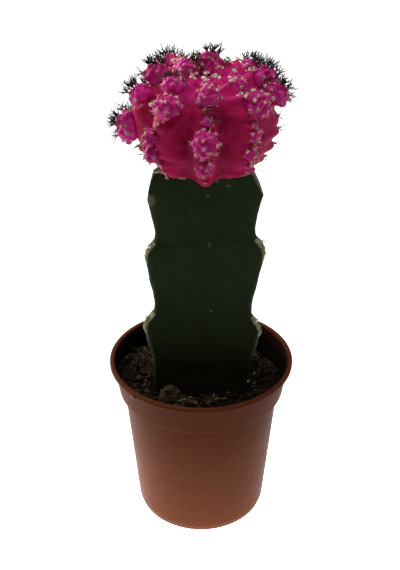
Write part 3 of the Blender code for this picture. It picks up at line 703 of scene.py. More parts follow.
loam, tree, shader = new_finish("loam", {"Roughness": 0.9, "Specular IOR Level": 0.05})
crumbs = noise(tree, 0.0005, 5.0, 0.7)
tone = marked(tree, "tone")
soil = laid_over(tree, tone, 0.55, 0.92, (0.0075, 0.0050, 0.0034, 1), (0.085, 0.054, 0.030, 1))
soil = laid_over(tree, tone, 0.955, 0.985, soil, (0.36, 0.30, 0.19, 1))
soil = laid_over(tree, crumbs, 0.45, 0.75, soil, (0.018, 0.012, 0.008, 1))
feed(tree, shader["Base Color"], soil)
feed(tree, shader["Normal"], relief(tree, crumbs, 0.0003))
peat_crumbs = new_piece("peat_crumbs", loam, crumb_grid, tone=crumb_tone[:, None, None])

clod_unit = np.stack([ball(60, 90)] * len(CLOD_LUMPS))
# Each lump is bumpy in its own way, so it reads the coarse waves at its own place.
clod_shifted = clod_unit + np.array([0.0, 3.1, 7.7])[:, None, None, None]
clod_bumps = 0.12 * waves(clod_shifted, 1.1, 42) + 0.10 * waves(clod_shifted, 0.45, 43)
clod_bumps = clod_bumps + 0.04 * waves(clod_unit, 0.16, 44)
clod_form = clod_unit * (1.0 + clod_bumps)[..., None] * CLOD_LUMPS[:, None, None, 3:]
clod_place = CLOD_LUMPS[:, :3].copy()
clod_place[:, 2] += peat_height(clod_place[:, 0], clod_place[:, 1])
clod = new_piece("loam_clod", loam, clod_form + clod_place[:, None, None], tone=0.82)

stray_form = ball(8, 12)[None] * crumb_draw.uniform(0.6, 1.1, (len(STRAYS), 1, 1, 3))
stray_form = stray_form * STRAYS[:, 3, None, None, None]
stray_grid = stray_form + STRAYS[:, None, None, :3]
strays = new_piece("stray_crumbs", loam, stray_grid, tone=STRAYS[:, 4, None, None])

# Fibres. Dry sphagnum and sedge strands, tan on the heap at the left and in front, and dark
# rootlets elsewhere: thin bent tubes, tapered to both ends, that lie over the crumbs.
MOUND_FIBRES = 110
FRONT_FIBRES = 70
LOOSE_FIBRES = 90


def strands(paths, radii, sides):
    """Tubes along paths, indexed [strand, ring, xyz], with each ring's radius, as closed grids.

    A ring is square to its path. Its first point is turned to the side of a slanting direction,
    which few paths follow, so that rings of one strand don't twist.
    """
    along = unit(np.gradient(paths, axis=1))
    side = unit(np.cross(along, np.array([0.31, 0.17, 0.93])))
    fore = np.cross(along, side)
    swing = np.linspace(0.0, math.tau, sides, endpoint=False)[:, None]
    ring = side[:, :, None] * np.cos(swing) + fore[:, :, None] * np.sin(swing)
    return paths[:, :, None] + ring * np.broadcast_to(radii, paths.shape[:2])[..., None, None]


def fibre_paths(draw, place, spread, lengths):
    """Bent threads that follow the bed: each starts near its place and turns as it goes."""
    count = len(place)
    start = place + draw.normal(size=(count, 2)) * spread
    heading = draw.uniform(0.0, math.tau, count)
    turn = draw.uniform(-2.2, 2.2, count)
    share = np.linspace(0.0, 1.0, 8)
    swing = heading[:, None] + turn[:, None] * share
    step = lengths[:, None, None] / len(share) * np.stack([np.cos(swing), np.sin(swing)], axis=-1)
    flat = start[:, None] + np.cumsum(step, axis=1)
    inside = clear_of_stock(flat[..., 0], flat[..., 1], 0.0002).all(axis=1)
    flat = flat[inside]
    arch = draw.uniform(0.0001, 0.0011, len(flat))[:, None] * np.sin(math.pi * share)
    z = peat_height(flat[..., 0], flat[..., 1])
    z = 0.5 * z + 0.5 * z.mean(axis=1, keepdims=True) + 0.0001 + arch
    return np.concatenate([flat, z[..., None]], axis=-1)


fibre_draw = np.random.default_rng(51)
mound_place = np.tile([MOUND_X - 0.0006, MOUND_Y - 0.0010], (MOUND_FIBRES, 1))
front_x = fibre_draw.uniform(-0.0085, 0.0070, FRONT_FIBRES)
front_place = np.stack([front_x, 0.27 * front_x - 0.0136], axis=-1)
loose_swing = fibre_draw.uniform(0.0, math.tau, LOOSE_FIBRES)
loose_way = np.stack([np.cos(loose_swing), np.sin(loose_swing)], axis=-1)
loose_place = fibre_draw.uniform(0.010, 0.023, (LOOSE_FIBRES, 1)) * loose_way
# Each group: where its fibres start, how far they are strewn, their lengths and their tones.
fibre_groups = (
    (mound_place, (0.0026, 0.0042), (0.0016, 0.0040), (0.25, 1.0)),
    (front_place, (0.0012, 0.0014), (0.0014, 0.0036), (0.20, 1.0)),
    (loose_place, (0.0005, 0.0005), (0.0020, 0.0055), (0.0, 0.85)),
)
fibre_path = []
fibre_tone = []
for place, spread, (shortest, longest), (darkest, lightest) in fibre_groups:
    path = fibre_paths(fibre_draw, place, spread, fibre_draw.uniform(shortest, longest, len(place)))
    fibre_path.append(path)
    fibre_tone.append(fibre_draw.uniform(darkest, lightest, len(path)))
fibre_path = np.concatenate(fibre_path)
fibre_tone = np.concatenate(fibre_tone)
fibre_radius = fibre_draw.uniform(0.00006, 0.00015, (len(fibre_path), 1))
fibre_radius = fibre_radius * np.array([0.35, 0.8, 1.0, 1.0, 1.0, 0.9, 0.7, 0.25])

straw, tree, shader = new_finish("straw", {"Roughness": 0.8, "Specular IOR Level": 0.3})
tone = marked(tree, "tone")
dry = laid_over(tree, tone, 0.1, 0.65, (0.014, 0.009, 0.0045, 1), (0.22, 0.155, 0.060, 1))
dry = laid_over(tree, tone, 0.82, 0.92, dry, (0.80, 0.68, 0.38, 1))
feed(tree, shader["Base Color"], mixed(tree, noise(tree, 0.0012), dry, (0.030, 0.020, 0.011, 1)))
fibre_grid = strands(fibre_path, fibre_radius, 5)
fibres = new_piece("peat_fibres", straw, fibre_grid, tone=fibre_tone[:, None, None])

# Scion. The grafted head of a moon cactus, which has no green of its own: eight broad ribs of
# translucent magenta flesh round a flattened globe, with a chin under each areole.
SCION_CENTRE_X = 0.0011
SCION_EQUATOR_Z = 0.1302
SCION_RADIUS = 0.0190
SCION_TOP_REACH = 0.0136
SCION_FOOT_REACH = 0.0150
SCION_FULLNESS = 0.75
SCION_TOP_LATITUDE = 88.0
SCION_FOOT_LATITUDE = -56.0
SCION_SEAT_LATITUDE = -46.6
SCION_DIMPLE = 0.0020
SCION_DIMPLE_RADIUS = 0.0050
VALLEY_DEPTH = 0.21
VALLEY_SAG = 0.0016
VALLEY_POWER = 1.3
RIB_PITCH = 45.0
FIRST_RIB_ANGLE = -90.0
# How many degrees the ribs on the diagonals crowd towards the front and the back.
RIB_CROWDING = 5.5
# Each rib in turn, from the front one round by the right. Its offsets: latitude in degrees,
# diameter in millimetres, degrees to the crest's left or right, height as a share of width, and
# how dark and long the spines are from 0 to 1. Then the latitudes of its bare areoles.
SCION_RIBS = (
    (
        (
            (51, 6.2, 4, 1.0, 0.15),
            (25, 2.8, 2, 1.0, 0.75),
            (5, 7.0, 0, 1.0, 0.1),
            (-17, 4.8, -2, 1.1, 0.1),
        ),
        (86, 73, 62, 38, -44),
    ),
    (
        (
            (62, 4.4, 18, 1.0, 0.0),
            (32, 7.6, 10, 1.1, 0.2),
            (5, 3.4, 1, 1.1, 0.0),
            (-11, 3.6, -2, 1.15, 0.0),
            (-26, 3.0, 0, 1.1, 0.0),
        ),
        (80, 66, 50, 14, -3, -19, -38),
    ),
    (((44, 7.2, 4, 1.1, 1.0), (28, 6.8, -4, 1.2, 0.9)), (86, 73, 60, 4, -6, -23, -39)),
    (((32, 7.2, -4, 1.0, 1.0), (6, 6.4, 0, 1.0, 0.9)), (80, 66, 54, -14, -30)),
    (((72, 7.0, -12, 1.05, 1.0), (20, 6.8, 4, 1.0, 0.8)), (86, 48, 0, -12, -24, -38)),
    (((76, 6.4, 14, 1.0, 0.8), (37, 7.2, -5, 1.0, 1.0), (8, 6.6, 2, 1.0, 0.9)), (62, 54, -12, -22, -34)),
    (((55, 6.4, -3, 1.0, 1.0), (31, 6.2, 9, 1.0, 1.0), (-6, 8.0, -4, 1.3, 1.0)), (84, 75, 14, -26, -38)),
    (
        (
            (59, 5.4, -6, 0.9, 0.7),
            (34, 7.0, 5, 0.9, 0.2),
            (1, 5.0, -8, 1.25, 0.35),
            (-13, 4.6, -7, 1.2, 0.55),
        ),
        (80, 69, 16, -24, -33, -42),
    ),
)
# The foot's edge rises or hangs lower in places: the direction, its spread and how far.
LIP_RISES = (
    (-138.0, 17.0, 0.0013),
    (-112.0, 10.0, -0.0003),
    (-68.0, 10.0, -0.0003),
    (-46.0, 15.0, 0.0006),
)
# Areoles above this latitude stand on pointed tubercles, and the others over rounded chins.
CROWN_LATITUDE = 50.0
PEAK_HEIGHT, PEAK_SPREAD = 0.0023, 5.4
CROWN_SINK, CROWN_SINK_SPREAD = 0.0016, 20.0
# A chin lies this many degrees below its areole, and a fold above it.
CHIN_HEIGHT, CHIN_BELOW, CHIN_BREADTH, CHIN_SPREAD = 0.0012, 3.5, 6.5, 4.6
FOLD_DEPTH, FOLD_ABOVE, FOLD_SPREAD = 0.0005, 4.5, 2.2
# What is left of either where an offset has grown from the areole.
GROWN_SHARE = 0.3
SCION_COLUMNS = 400
SCION_ROWS = 190


def valley_share(angle):
    """0 on a rib's crest and 1 in the middle of a valley, and smooth at both."""
    off_crest = (angle - FIRST_RIB_ANGLE + RIB_PITCH / 2) % RIB_PITCH - RIB_PITCH / 2
    return (0.5 - 0.5 * np.cos(math.tau * off_crest / RIB_PITCH)) ** VALLEY_POWER


def true_turn(angle):
    """The direction, in radians, of an angle that is counted in evenly spaced ribs."""
    return np.radians(angle - RIB_CROWDING * np.sin(2.0 * np.radians(angle - FIRST_RIB_ANGLE)))


def scion_point(angle, latitude):
    """The globe at an angle and a latitude in degrees: a flattened ball with valleys pressed in.

    The crest's radius is SCION_RADIUS by the latitude's cosine, and its height the reach by its
    sine, with powers that fill the shoulders out. A valley takes away a share of the radius.
    """
    cosine = np.cos(np.radians(latitude))
    sine = np.sin(np.radians(latitude))
    valley = valley_share(angle)
    radius = SCION_RADIUS * cosine**SCION_FULLNESS * (1.0 - VALLEY_DEPTH * (0.35 + 0.65 * cosine) * valley)
    upper = SCION_TOP_REACH * np.maximum(sine, 0.0) ** SCION_FULLNESS
    z = SCION_EQUATOR_Z + upper + SCION_FOOT_REACH * np.minimum(sine, 0.0)
    z = z - VALLEY_SAG * valley * np.maximum(sine, 0.0)
    z = z - SCION_DIMPLE * bell(radius / SCION_DIMPLE_RADIUS)
    return round_axis(radius, true_turn(angle), z) + (SCION_CENTRE_X, 0.0, 0.0)


sites = []
for rib, (offset_rows, areoles) in enumerate(SCION_RIBS):
    crest = FIRST_RIB_ANGLE + RIB_PITCH * rib
    for latitude, diameter, aside, stretch, darkness in offset_rows:
        sites.append((crest + aside, latitude, diameter * 0.001, stretch, darkness))
    sites += [(crest, latitude, 0.0, 1.0, 0.0) for latitude in areoles]
site_angle, site_latitude, site_diameter, site_stretch, site_darkness = np.array(sites, float).T


def chins(angle, latitude):
    """How far the areoles of the ribs swell the flesh, in metres.

    Round the crown, which is sunk, an areole tops a pointed tubercle, and the highest one counts.
    Further down it sits over a rounded chin, under a shallow fold, and these add up.
    """
    peaks = 0.0
    folded = 0.0
    for site, height, diameter in zip(site_angle, site_latitude, site_diameter):
        across = turned_off(angle, site) * np.cos(np.radians(latitude))
        above = latitude - height
        share = 1.0 if diameter == 0.0 else GROWN_SHARE
        if height > CROWN_LATITUDE:
            away = (across / PEAK_SPREAD) ** 2 + (above / PEAK_SPREAD) ** 2
            peaks = np.maximum(peaks, PEAK_HEIGHT * share * np.exp(-(away**0.8)))
        else:
            chin = CHIN_HEIGHT * share * bell((above + CHIN_BELOW) / CHIN_SPREAD)
            fold = FOLD_DEPTH * bell((above - FOLD_ABOVE) / FOLD_SPREAD)
            folded = folded + bell(across / CHIN_BREADTH) * (chin - fold)
    return peaks + folded - CROWN_SINK * bell((90.0 - latitude) / CROWN_SINK_SPREAD)


angle = np.linspace(0.0, 360.0, SCION_COLUMNS, endpoint=False)
lip_angle = true_turn(angle)
# Where the rootstock's ribs reach beyond the globe's foot, the foot's edge, or lip, lies higher up.
seat_ring = stock_outline(np.array([GRAFT_Z - 0.0004]), GAP)[0][0]
seat = ring_reach(seat_ring, SCION_CENTRE_X, (lip_angle + math.pi) % math.tau - math.pi)
foot = scion_point(angle, SCION_FOOT_LATITUDE)
over_rib = np.clip((seat - np.hypot(foot[:, 0] - SCION_CENTRE_X, foot[:, 1])) / 0.0012 + 1.0, 0.0, 1.0)
lip_latitude = SCION_FOOT_LATITUDE + (SCION_SEAT_LATITUDE - SCION_FOOT_LATITUDE) * over_rib
share = np.linspace(0.0, 1.0, SCION_ROWS)[:, None]
latitude = lip_latitude + (SCION_TOP_LATITUDE - lip_latitude) * share
flesh = scion_point(angle[None], latitude)
flesh_normal = facing_out(flesh)
swollen = chins(angle[None], latitude)
flesh_lift = swollen + 0.00012 * waves(flesh, 0.007, 61) + 0.00002 * waves(flesh, 0.0011, 62)
cross_bands = np.sin(np.radians(latitude * 13.0) + 1.3 * waves(flesh, 0.010, 63))
flesh_lift = flesh_lift + 0.00003 * cross_bands * np.cos(np.radians(latitude))
flesh = flesh + flesh_normal * flesh_lift[..., None]
near_lip = bell((latitude - lip_latitude) / 16.0)
for facing, spread, raise_by in LIP_RISES:
    flesh[..., 2] += raise_by * near_lip * bell(turned_off(angle, facing) / spread)
# The underside is hollowed from the lip up to the cut, on which it lies flat.
lip = flesh[0]
seat_reach = np.minimum(seat, np.hypot(lip[:, 0] - SCION_CENTRE_X, lip[:, 1]) - GAP)
seat_z = np.full(SCION_COLUMNS, GRAFT_Z + GAP)
underside = []
for reach, z in (
    (0.5 * seat_reach, seat_z),
    (seat_reach, seat_z),
    (seat_reach, np.minimum(lip[:, 2] + 0.0002, seat_z)),
):
    underside.append(round_axis(reach, lip_angle, z) + (SCION_CENTRE_X, 0.0, 0.0))
scion_grid = np.concatenate([underside, flesh])
hollow_rows = np.zeros((len(underside), SCION_COLUMNS))
flesh_marks = {
    "valley": np.broadcast_to(valley_share(angle)[None], latitude.shape),
    "height": (latitude - SCION_FOOT_LATITUDE) / (SCION_TOP_LATITUDE - SCION_FOOT_LATITUDE),
    "band": cross_bands,
}
flesh_marks = {name: np.concatenate([hollow_rows, values]) for name, values in flesh_marks.items()}

# The red shines furthest through the flesh.
FLESH = {
    "Roughness": 0.46,
    "Specular IOR Level": 0.08,
    "Specular Tint": (1.0, 0.35, 0.65, 1.0),
    "Subsurface Weight": 0.35,
    "Subsurface Radius": (1.0, 0.16, 0.35),
    "Subsurface Scale": 0.0016,
}
magenta_flesh, tree, shader = new_finish("magenta_flesh", FLESH)
blotch = noise(tree, 0.005, 5.0, 0.6)
cells = noise(tree, 0.0003, 2.0)
# Painted shade and highlight: the valleys are painted darker, and the crown lighter and more purple, a
# painted highlight from the light above.
crimson = mixed(tree, marked(tree, "valley"), (0.45, 0.0095, 0.080, 1), (0.24, 0.0045, 0.036, 1))
crimson = laid_over(tree, marked(tree, "height"), 0.58, 0.90, crimson, (0.60, 0.020, 0.23, 1))
crimson = laid_over(tree, blotch, 0.42, 0.75, crimson, (0.50, 0.015, 0.105, 1))
banded = product(tree, marked(tree, "band"), noise(tree, 0.004))
band_share = product(tree, between(tree, banded, 0.25, 0.65), 0.35)
feed(tree, shader["Base Color"], mixed(tree, band_share, crimson, (0.52, 0.030, 0.16, 1)))
feed(tree, shader["Normal"], relief(tree, cells, 0.00003, relief(tree, blotch, 0.0002)))
scion_body = new_piece("scion_body", magenta_flesh, scion_grid[None], **flesh_marks)
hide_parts("scion")

# Callus. Crumbs of dried, cream tissue that swelled out of the graft where the scion's foot meets
# the rootstock: lumps along the foot's edge, strewn round a few directions. For each of these: the
# direction in degrees, its spread and how many lumps.
CALLUS = (
    (-152.0, 10.0, 16), (-132.0, 7.0, 9), (-90.0, 2.5, 7),
    (-52.0, 6.0, 6), (-32.0, 9.0, 12), (90.0, 60.0, 24),
)
callus_draw = np.random.default_rng(65)
callus_angle = np.concatenate([callus_draw.normal(*row) for row in CALLUS])
lumps = len(callus_angle)
callus_place = [np.interp(callus_angle % 360.0, angle, along, period=360.0) for along in lip.T]
callus_place = np.stack(callus_place, axis=-1)
callus_place = callus_place + callus_draw.normal(size=(lumps, 3)) * (0.0002, 0.0002, 0.00025)
callus_size = callus_draw.uniform(0.00022, 0.00062, (lumps, 1, 1, 1))
callus_grid = ball(6, 9)[None] * callus_size * callus_draw.uniform(0.6, 1.2, (lumps, 1, 1, 3))
callus_grid = dented(callus_draw, callus_grid, lumps, 0.2)

dried_callus, tree, shader = new_finish("dried_callus", {"Roughness": 0.85, "Specular IOR Level": 0.1})
callus_tan = mixed(tree, noise(tree, 0.0008, 4.0), (0.13, 0.095, 0.050, 1), (0.55, 0.45, 0.28, 1))
feed(tree, shader["Base Color"], callus_tan)
callus = new_piece("graft_callus", dried_callus, callus_grid + callus_place[:, None, None])

# Offsets. The young heads that crowd along the scion's ribs: each a small ball of pointed
# tubercles set in a spiral, in a purer, more purple magenta than the old flesh.
OFFSET_CORE = 0.80
OFFSET_RISE = 0.28
OFFSET_DIP = 0.10
OFFSET_LIFT = 0.48
OFFSET_GRID = (42, 60)
# The most tubercles on an offset, how far from its crown they reach, and the radius of an offset
# with the usual number of them.
TUBERCLES = 38
LOWEST_TUBERCLE = math.radians(118.0)
USUAL_RADIUS = 0.0036
# An offset whose spines are darker than this is bristly: it has more and smaller tubercles.
BRISTLY_DARKNESS = 0.6


def crest_frames(angle, latitude):
    """Points on the ribs' crests, and the unit vectors across, up along and out of the crest there."""
    place = scion_point(angle, latitude)
    up = unit(scion_point(angle, latitude + 1.0) - scion_point(angle, latitude - 1.0))
    turn = true_turn(angle)
    across = np.stack([-np.sin(turn), np.cos(turn), 0.0 * turn], axis=-1)
    return place, across, up, np.cross(across, up)


def frames_about(axis):
    """For each axis, a matrix whose rows are two unit vectors square to it and the axis itself."""
    reference = np.where(np.abs(axis[..., 2:]) < 0.8, [0.0, 0.0, 1.0], [1.0, 0.0, 0.0])
    side = unit(np.cross(reference, axis))
    return np.stack([side, np.cross(axis, side), axis], axis=-2)


is_offset = site_diameter > 0.0
site_place, site_across, site_up, site_out = crest_frames(site_angle, site_latitude)
offset_draw = np.random.default_rng(71)
offset_radius = site_diameter[is_offset] / 2.0
offset_count = len(offset_radius)
offset_stretch = site_stretch[is_offset] * offset_draw.uniform(0.92, 1.08, offset_count)
offset_up = site_up[is_offset]
offset_across = site_across[is_offset]
offset_out = site_out[is_offset]
offset_centre = site_place[is_offset] + offset_out * (offset_radius * OFFSET_LIFT)[:, None]
lean_up = offset_draw.uniform(0.10, 0.50, (offset_count, 1))
lean_across = offset_draw.uniform(-0.25, 0.25, (offset_count, 1))
offset_axis = unit(offset_out + offset_up * lean_up + offset_across * lean_across)
offset_frame = frames_about(offset_axis)

golden = math.pi * (3.0 - math.sqrt(5.0))
order = np.arange(TUBERCLES)
# The smaller an offset, the fewer its tubercles. They crowd at its crown and widen further down.
bristly = site_darkness[is_offset][:, None] > BRISTLY_DARKNESS
tubercle_count = np.where(bristly, 34.0, 21.0) * (offset_radius[:, None] / USUAL_RADIUS) ** 1.2
tubercle_count = np.clip(np.round(tubercle_count), 7, TUBERCLES)
present = order < tubercle_count
order_share = np.minimum((order + 0.4) / tubercle_count, 1.0)
tubercle_polar = LOWEST_TUBERCLE * order_share ** np.where(bristly, 0.85, 0.60)
tubercle_span = np.where(bristly, 0.30 + 0.28 * tubercle_polar, 0.40 + 0.18 * tubercle_polar)
tubercle_span = tubercle_span * np.sqrt(np.where(bristly, 34.0, 24.0) / tubercle_count)
tubercle_swing = offset_draw.uniform(0.0, math.tau, (offset_count, 1)) + golden * order
tubercle_swing = tubercle_swing + offset_draw.normal(size=(offset_count, TUBERCLES)) * 0.12
tubercle = round_axis(np.sin(tubercle_polar), tubercle_swing, np.cos(tubercle_polar))
tubercle = unit(tubercle + offset_draw.normal(size=tubercle.shape) * 0.06)
tubercle_rise = offset_draw.uniform(0.7, 1.15, (offset_count, TUBERCLES)) * present
tubercle_rise = tubercle_rise * (0.45 + 0.55 * np.clip(tubercle_span / 0.6, 0.0, 1.2))
tubercle_rise = tubercle_rise * np.where(bristly, 1.0, 0.8)


def offset_relief(directions):
    """How high the tubercles stand in local directions [offset, ..., xyz].

    Each is a cone with a rounded foot and tip. The fifth root of the sum of their fifth powers
    lets them run together.
    """
    cosine = np.einsum("o...i,oki->o...k", directions, tubercle)
    extra = (1,) * (directions.ndim - 2)
    span = tubercle_span.reshape(offset_count, *extra, TUBERCLES)
    rise = tubercle_rise.reshape(offset_count, *extra, TUBERCLES)
    away = np.arccos(np.clip(cosine, -1.0, 1.0)) / span
    cone = (0.5 + 0.5 * np.cos(math.pi * np.minimum(away, 1.0))) * rise
    return (cone**5).sum(axis=-1) ** 0.2


def offset_surface(directions):
    """Points of the offsets in the object's frame, in local directions [offset, ..., xyz].

    The reach is the core with its tubercles and a dip at the crown. Each offset is then stretched
    along its rib, and squeezed across it by as much.
    """
    extra = (1,) * (directions.ndim - 2)
    crown_dip = OFFSET_DIP * bell(np.arccos(np.clip(directions[..., 2], -1.0, 1.0)) / 0.25)
    reach = OFFSET_CORE + OFFSET_RISE * offset_relief(directions) - crown_dip
    reach = offset_radius.reshape(offset_count, *extra) * reach
    off = np.einsum("o...i,oij->o...j", directions * reach[..., None], offset_frame)
    stretch = np.sqrt(offset_stretch)
    for way, share in ((offset_up, stretch), (offset_across, 1.0 / stretch)):
        way = way.reshape(offset_count, *extra, 3)
        part = (off * way).sum(axis=-1, keepdims=True)
        off = off + part * way * (share - 1.0).reshape(offset_count, *extra, 1)
    return off + offset_centre.reshape(offset_count, *extra, 3)


directions = np.broadcast_to(ball(*OFFSET_GRID), (offset_count, *OFFSET_GRID, 3))
standing = offset_relief(directions)
offset_grid = offset_surface(directions)
offset_lift = 0.00012 * waves(offset_grid, 0.0024, 72)
offset_grid = offset_grid + facing_out(offset_grid) * offset_lift[..., None]

YOUNG_FLESH = {
    **FLESH,
    "Roughness": 0.40,
    "Specular IOR Level": 0.16,
    "Subsurface Weight": 0.5,
    "Specular Tint": (1.0, 0.6, 0.95, 1.0),
}
offset_flesh, tree, shader = new_finish("offset_flesh", YOUNG_FLESH)
cells = noise(tree, 0.0003, 2.0)
blotch = noise(tree, 0.0018, 5.0, 0.65)
# The tubercles are painted lighter and the hollows between them darker: painted highlight and painted
# shade. The pale mottling, laid only on raised parts, is partly a painted highlight.
raised_share = between(tree, marked(tree, "standing"), 0.25, 0.95)
magenta = mixed(tree, raised_share, (0.42, 0.0085, 0.145, 1), (0.68, 0.038, 0.33, 1))
magenta = laid_over(tree, blotch, 0.40, 0.70, magenta, (0.54, 0.016, 0.180, 1))
pale_share = product(tree, between(tree, blotch, 0.42, 0.25), raised_share)
magenta = mixed(tree, product(tree, pale_share, 0.6), magenta, (0.70, 0.10, 0.40, 1))
feed(tree, shader["Base Color"], magenta)
feed(tree, shader["Normal"], relief(tree, cells, 0.00003))
offsets = new_piece("offsets", offset_flesh, offset_grid, standing=standing)
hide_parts("scion")

# Areole wool. A small cream cushion of felted wool on every tubercle, on each bare areole of the
# ribs and on the rootstock's margins: an uneven dome with a brown heart, in a fringe of short hairs.
CUSHION_GRID = (6, 10)
CUSHION_FLATNESS = 0.62
CUSHION_LIFT = 0.00010
# The cushions' radii on the ribs' bare areoles, in the crown's bunches and on the rootstock.
RIB_CUSHION, YOUNG_CUSHION, STOCK_CUSHION = 0.00048, 0.00050, 0.00062
# A young areole, above this latitude, is a bunch of cushions.
YOUNG_LATITUDE = 45.0
YOUNG_CUSHIONS = 4
BUNCH_SPREAD = (0.00058, 0.00058, 0.00026)
BALD_SHARE = 0.50
HAIRS = 5
HAIR_LENGTH = 1.9
HAIR_RADIUS = 0.000028

tubercle_place = offset_surface(tubercle)
tubercle_out = np.einsum("oki,oij->okj", tubercle, offset_frame)
# Tubercles that face back into the rib bear nothing.
woolly = present & (np.einsum("okj,oj->ok", tubercle_out, offset_out) > -0.35)
tubercle_darkness = np.broadcast_to(site_darkness[is_offset][:, None], woolly.shape)

bare = ~is_offset
bare_out = site_out[bare]
chin_lift = chins(site_angle[bare], site_latitude[bare])
bare_place = site_place[bare] + bare_out * chin_lift[:, None]

# An areole of the rootstock sits where its rib reaches farthest, unless the cut took it off. The
# left rib has none at its base.
stock_seat = []
stock_out = []
for direction, areoles, (_, cut_z, _, _) in STOCK_RIBS:
    for height in (*areoles, BASE_AREOLE_Z):
        if height < cut_z and (height, direction) != (BASE_AREOLE_Z, 210.0):
            ring = stock[np.abs(stock_z - height).argmin()]
            stock_seat.append(ring[(ring[:, :2] @ compass(direction)).argmax()])
            stock_out.append((*compass(direction), 0.35))
stock_seat = np.array(stock_seat)
stock_out = unit(np.array(stock_out))

# The dark spines stand on the sides and the back of an offset, whose front is half bald.
wool_draw = np.random.default_rng(81)
dark_side = bristly & (tubercle_out[..., 1] > -0.30)
bald = bristly & ~dark_side & (wool_draw.uniform(0.0, 1.0, woolly.shape) > 1.0 - BALD_SHARE)
woolly = woolly & ~bald
young = site_latitude[bare] > YOUNG_LATITUDE
bunch_place = np.repeat(bare_place[young], YOUNG_CUSHIONS, axis=0)
bunch_place = bunch_place + wool_draw.normal(size=bunch_place.shape) * BUNCH_SPREAD
bunch_out = np.repeat(bare_out[young], YOUNG_CUSHIONS, axis=0)
wool_place = np.concatenate([tubercle_place[woolly], bare_place[~young], bunch_place, stock_seat])
wool_out = np.concatenate([tubercle_out[woolly], bare_out[~young], bunch_out, stock_out])
cushions = len(wool_place)
# Where the dark spines crowd, and near any offset's crown, the wool is still small.
grown = np.clip(np.where(dark_side, (tubercle_polar - 0.6) / 0.6, tubercle_polar), 0.0, 1.0)
offset_cushion = (0.00030 + 0.00024 * grown) * np.clip(offset_radius[:, None] / USUAL_RADIUS, 0.8, 1.1)
counts = (np.count_nonzero(~young), len(bunch_place), len(stock_seat))
other_cushion = np.repeat((RIB_CUSHION, YOUNG_CUSHION, STOCK_CUSHION), counts)
wool_radius = np.concatenate([offset_cushion[woolly], other_cushion])
wool_radius = wool_radius * wool_draw.uniform(0.40, 1.20, cushions)
# Wool is painted paler the more it faces the sky and darker and redder where it faces away, with a random
# spread: painted light and painted shade. The rootstock's is pale.
pale = np.clip(0.15 + 0.85 * wool_out[:, 2] + wool_draw.uniform(-0.30, 0.40, cushions), 0.0, 1.0)
pale[-len(stock_seat) :] = 1.0
wool_form = dented(wool_draw, ball(*CUSHION_GRID)[None] * (1.0, 1.0, CUSHION_FLATNESS), cushions, 0.16)
wool_form = wool_form * wool_radius[:, None, None, None]
wool_grid = np.einsum("nrci,nij->nrcj", wool_form, frames_about(wool_out))
wool_grid = wool_grid + (wool_place + wool_out * CUSHION_LIFT)[:, None, None]
heart = np.linspace(0.0, 1.0, CUSHION_GRID[0])[None, :, None] ** 3
heart = heart * (wool_draw.uniform(0.0, 1.0, cushions) > 0.75 * pale)[:, None, None]

WOOL = {
    "Roughness": 0.95,
    "Specular IOR Level": 0.1,
    "Sheen Weight": 0.15,
    "Subsurface Weight": 0.5,
    "Subsurface Radius": (1.0, 0.6, 0.5),
    "Subsurface Scale": 0.0006,
}
areole_wool, tree, shader = new_finish("areole_wool", WOOL)
felt = noise(tree, 0.00025, 4.0, 0.7)
# Painted light and shade: the colours of wool in the light and of wool in shade.
wool_in_light = laid_over(tree, felt, 0.22, 0.50, (1.0, 0.48, 0.36, 1), (1.0, 0.76, 0.64, 1))
wool_in_shade = mixed(tree, felt, (0.48, 0.12, 0.12, 1), (0.98, 0.40, 0.36, 1))
cream = mixed(tree, marked(tree, "pale"), wool_in_shade, wool_in_light)
heart_share = product(tree, between(tree, marked(tree, "heart"), 0.15, 0.9), 0.55)
feed(tree, shader["Base Color"], mixed(tree, heart_share, cream, (0.13, 0.050, 0.030, 1)))
feed(tree, shader["Normal"], relief(tree, felt, 0.0002))
new_piece("areole_wool", areole_wool, wool_grid, heart=heart, pale=pale[:, None, None])

hair_root = np.repeat(wool_place, HAIRS, axis=0)
hair_size = np.repeat(wool_radius, HAIRS)[:, None, None]
hair_way = np.repeat(wool_out, HAIRS, axis=0) * 0.9 + wool_draw.normal(size=hair_root.shape) * 0.75
hair_share = np.linspace(0.0, 1.0, 4)[None, :, None]
hair_curl = wool_draw.normal(size=hair_root.shape)[:, None] * 0.5
hair_bend = HAIR_LENGTH * unit(hair_way)[:, None] + hair_curl * hair_share
hair_path = hair_root[:, None] + hair_size * hair_share * hair_bend
hair_grid = strands(hair_path, HAIR_RADIUS * (1.0 - 0.7 * hair_share[..., 0]), 3)
hair_pale = np.repeat(pale, HAIRS)[:, None, None]
new_piece("areole_hairs", areole_wool, hair_grid, heart=0.0, pale=hair_pale)

# Spines. Stiff, slightly curved needles from the wool: long, dark brown bunches round each
# offset's crown, short tan ones that spread flat from the other areoles and from the rootstock.
CROWN_POLAR = math.radians(85.0)
SPINE_RADIUS = 0.000108
SPINE_RINGS = 5
# The dark crown spines lean this much along their offset's axis.
CROWN_PULL = 0.35
# How far inside the box of the solids a straight spine ends, and how far inside a bent one stays.
BOX_ROOM, TIP_ROOM = 0.0003, 0.0002
# Fringed areoles face the front to within this many degrees, and lie above this latitude.
FRINGED_TURN = 50.0
FRINGED_LATITUDE = -36.0

spine_draw = np.random.default_rng(91)


def spread_round(out, count, flatness, jitter):
    """Directions like spokes round each out vector, raised off its plane by 1 - flatness."""
    frames = np.repeat(frames_about(out), count, axis=0)
    swing = np.tile(np.arange(count) * math.tau / count, len(out))
    swing = swing + spine_draw.uniform(-0.5, 0.5, len(swing))
    local = round_axis(flatness, swing, 1.0 - flatness)
    local = local + spine_draw.normal(size=local.shape) * jitter
    return unit(np.einsum("ni,nij->nj", local, frames))


crown = woolly & (tubercle_polar < CROWN_POLAR)
in_front = np.abs(turned_off(site_angle[bare], FIRST_RIB_ANGLE)) < FRINGED_TURN
fringed = in_front & ~young & (site_latitude[bare] > FRINGED_LATITUDE)
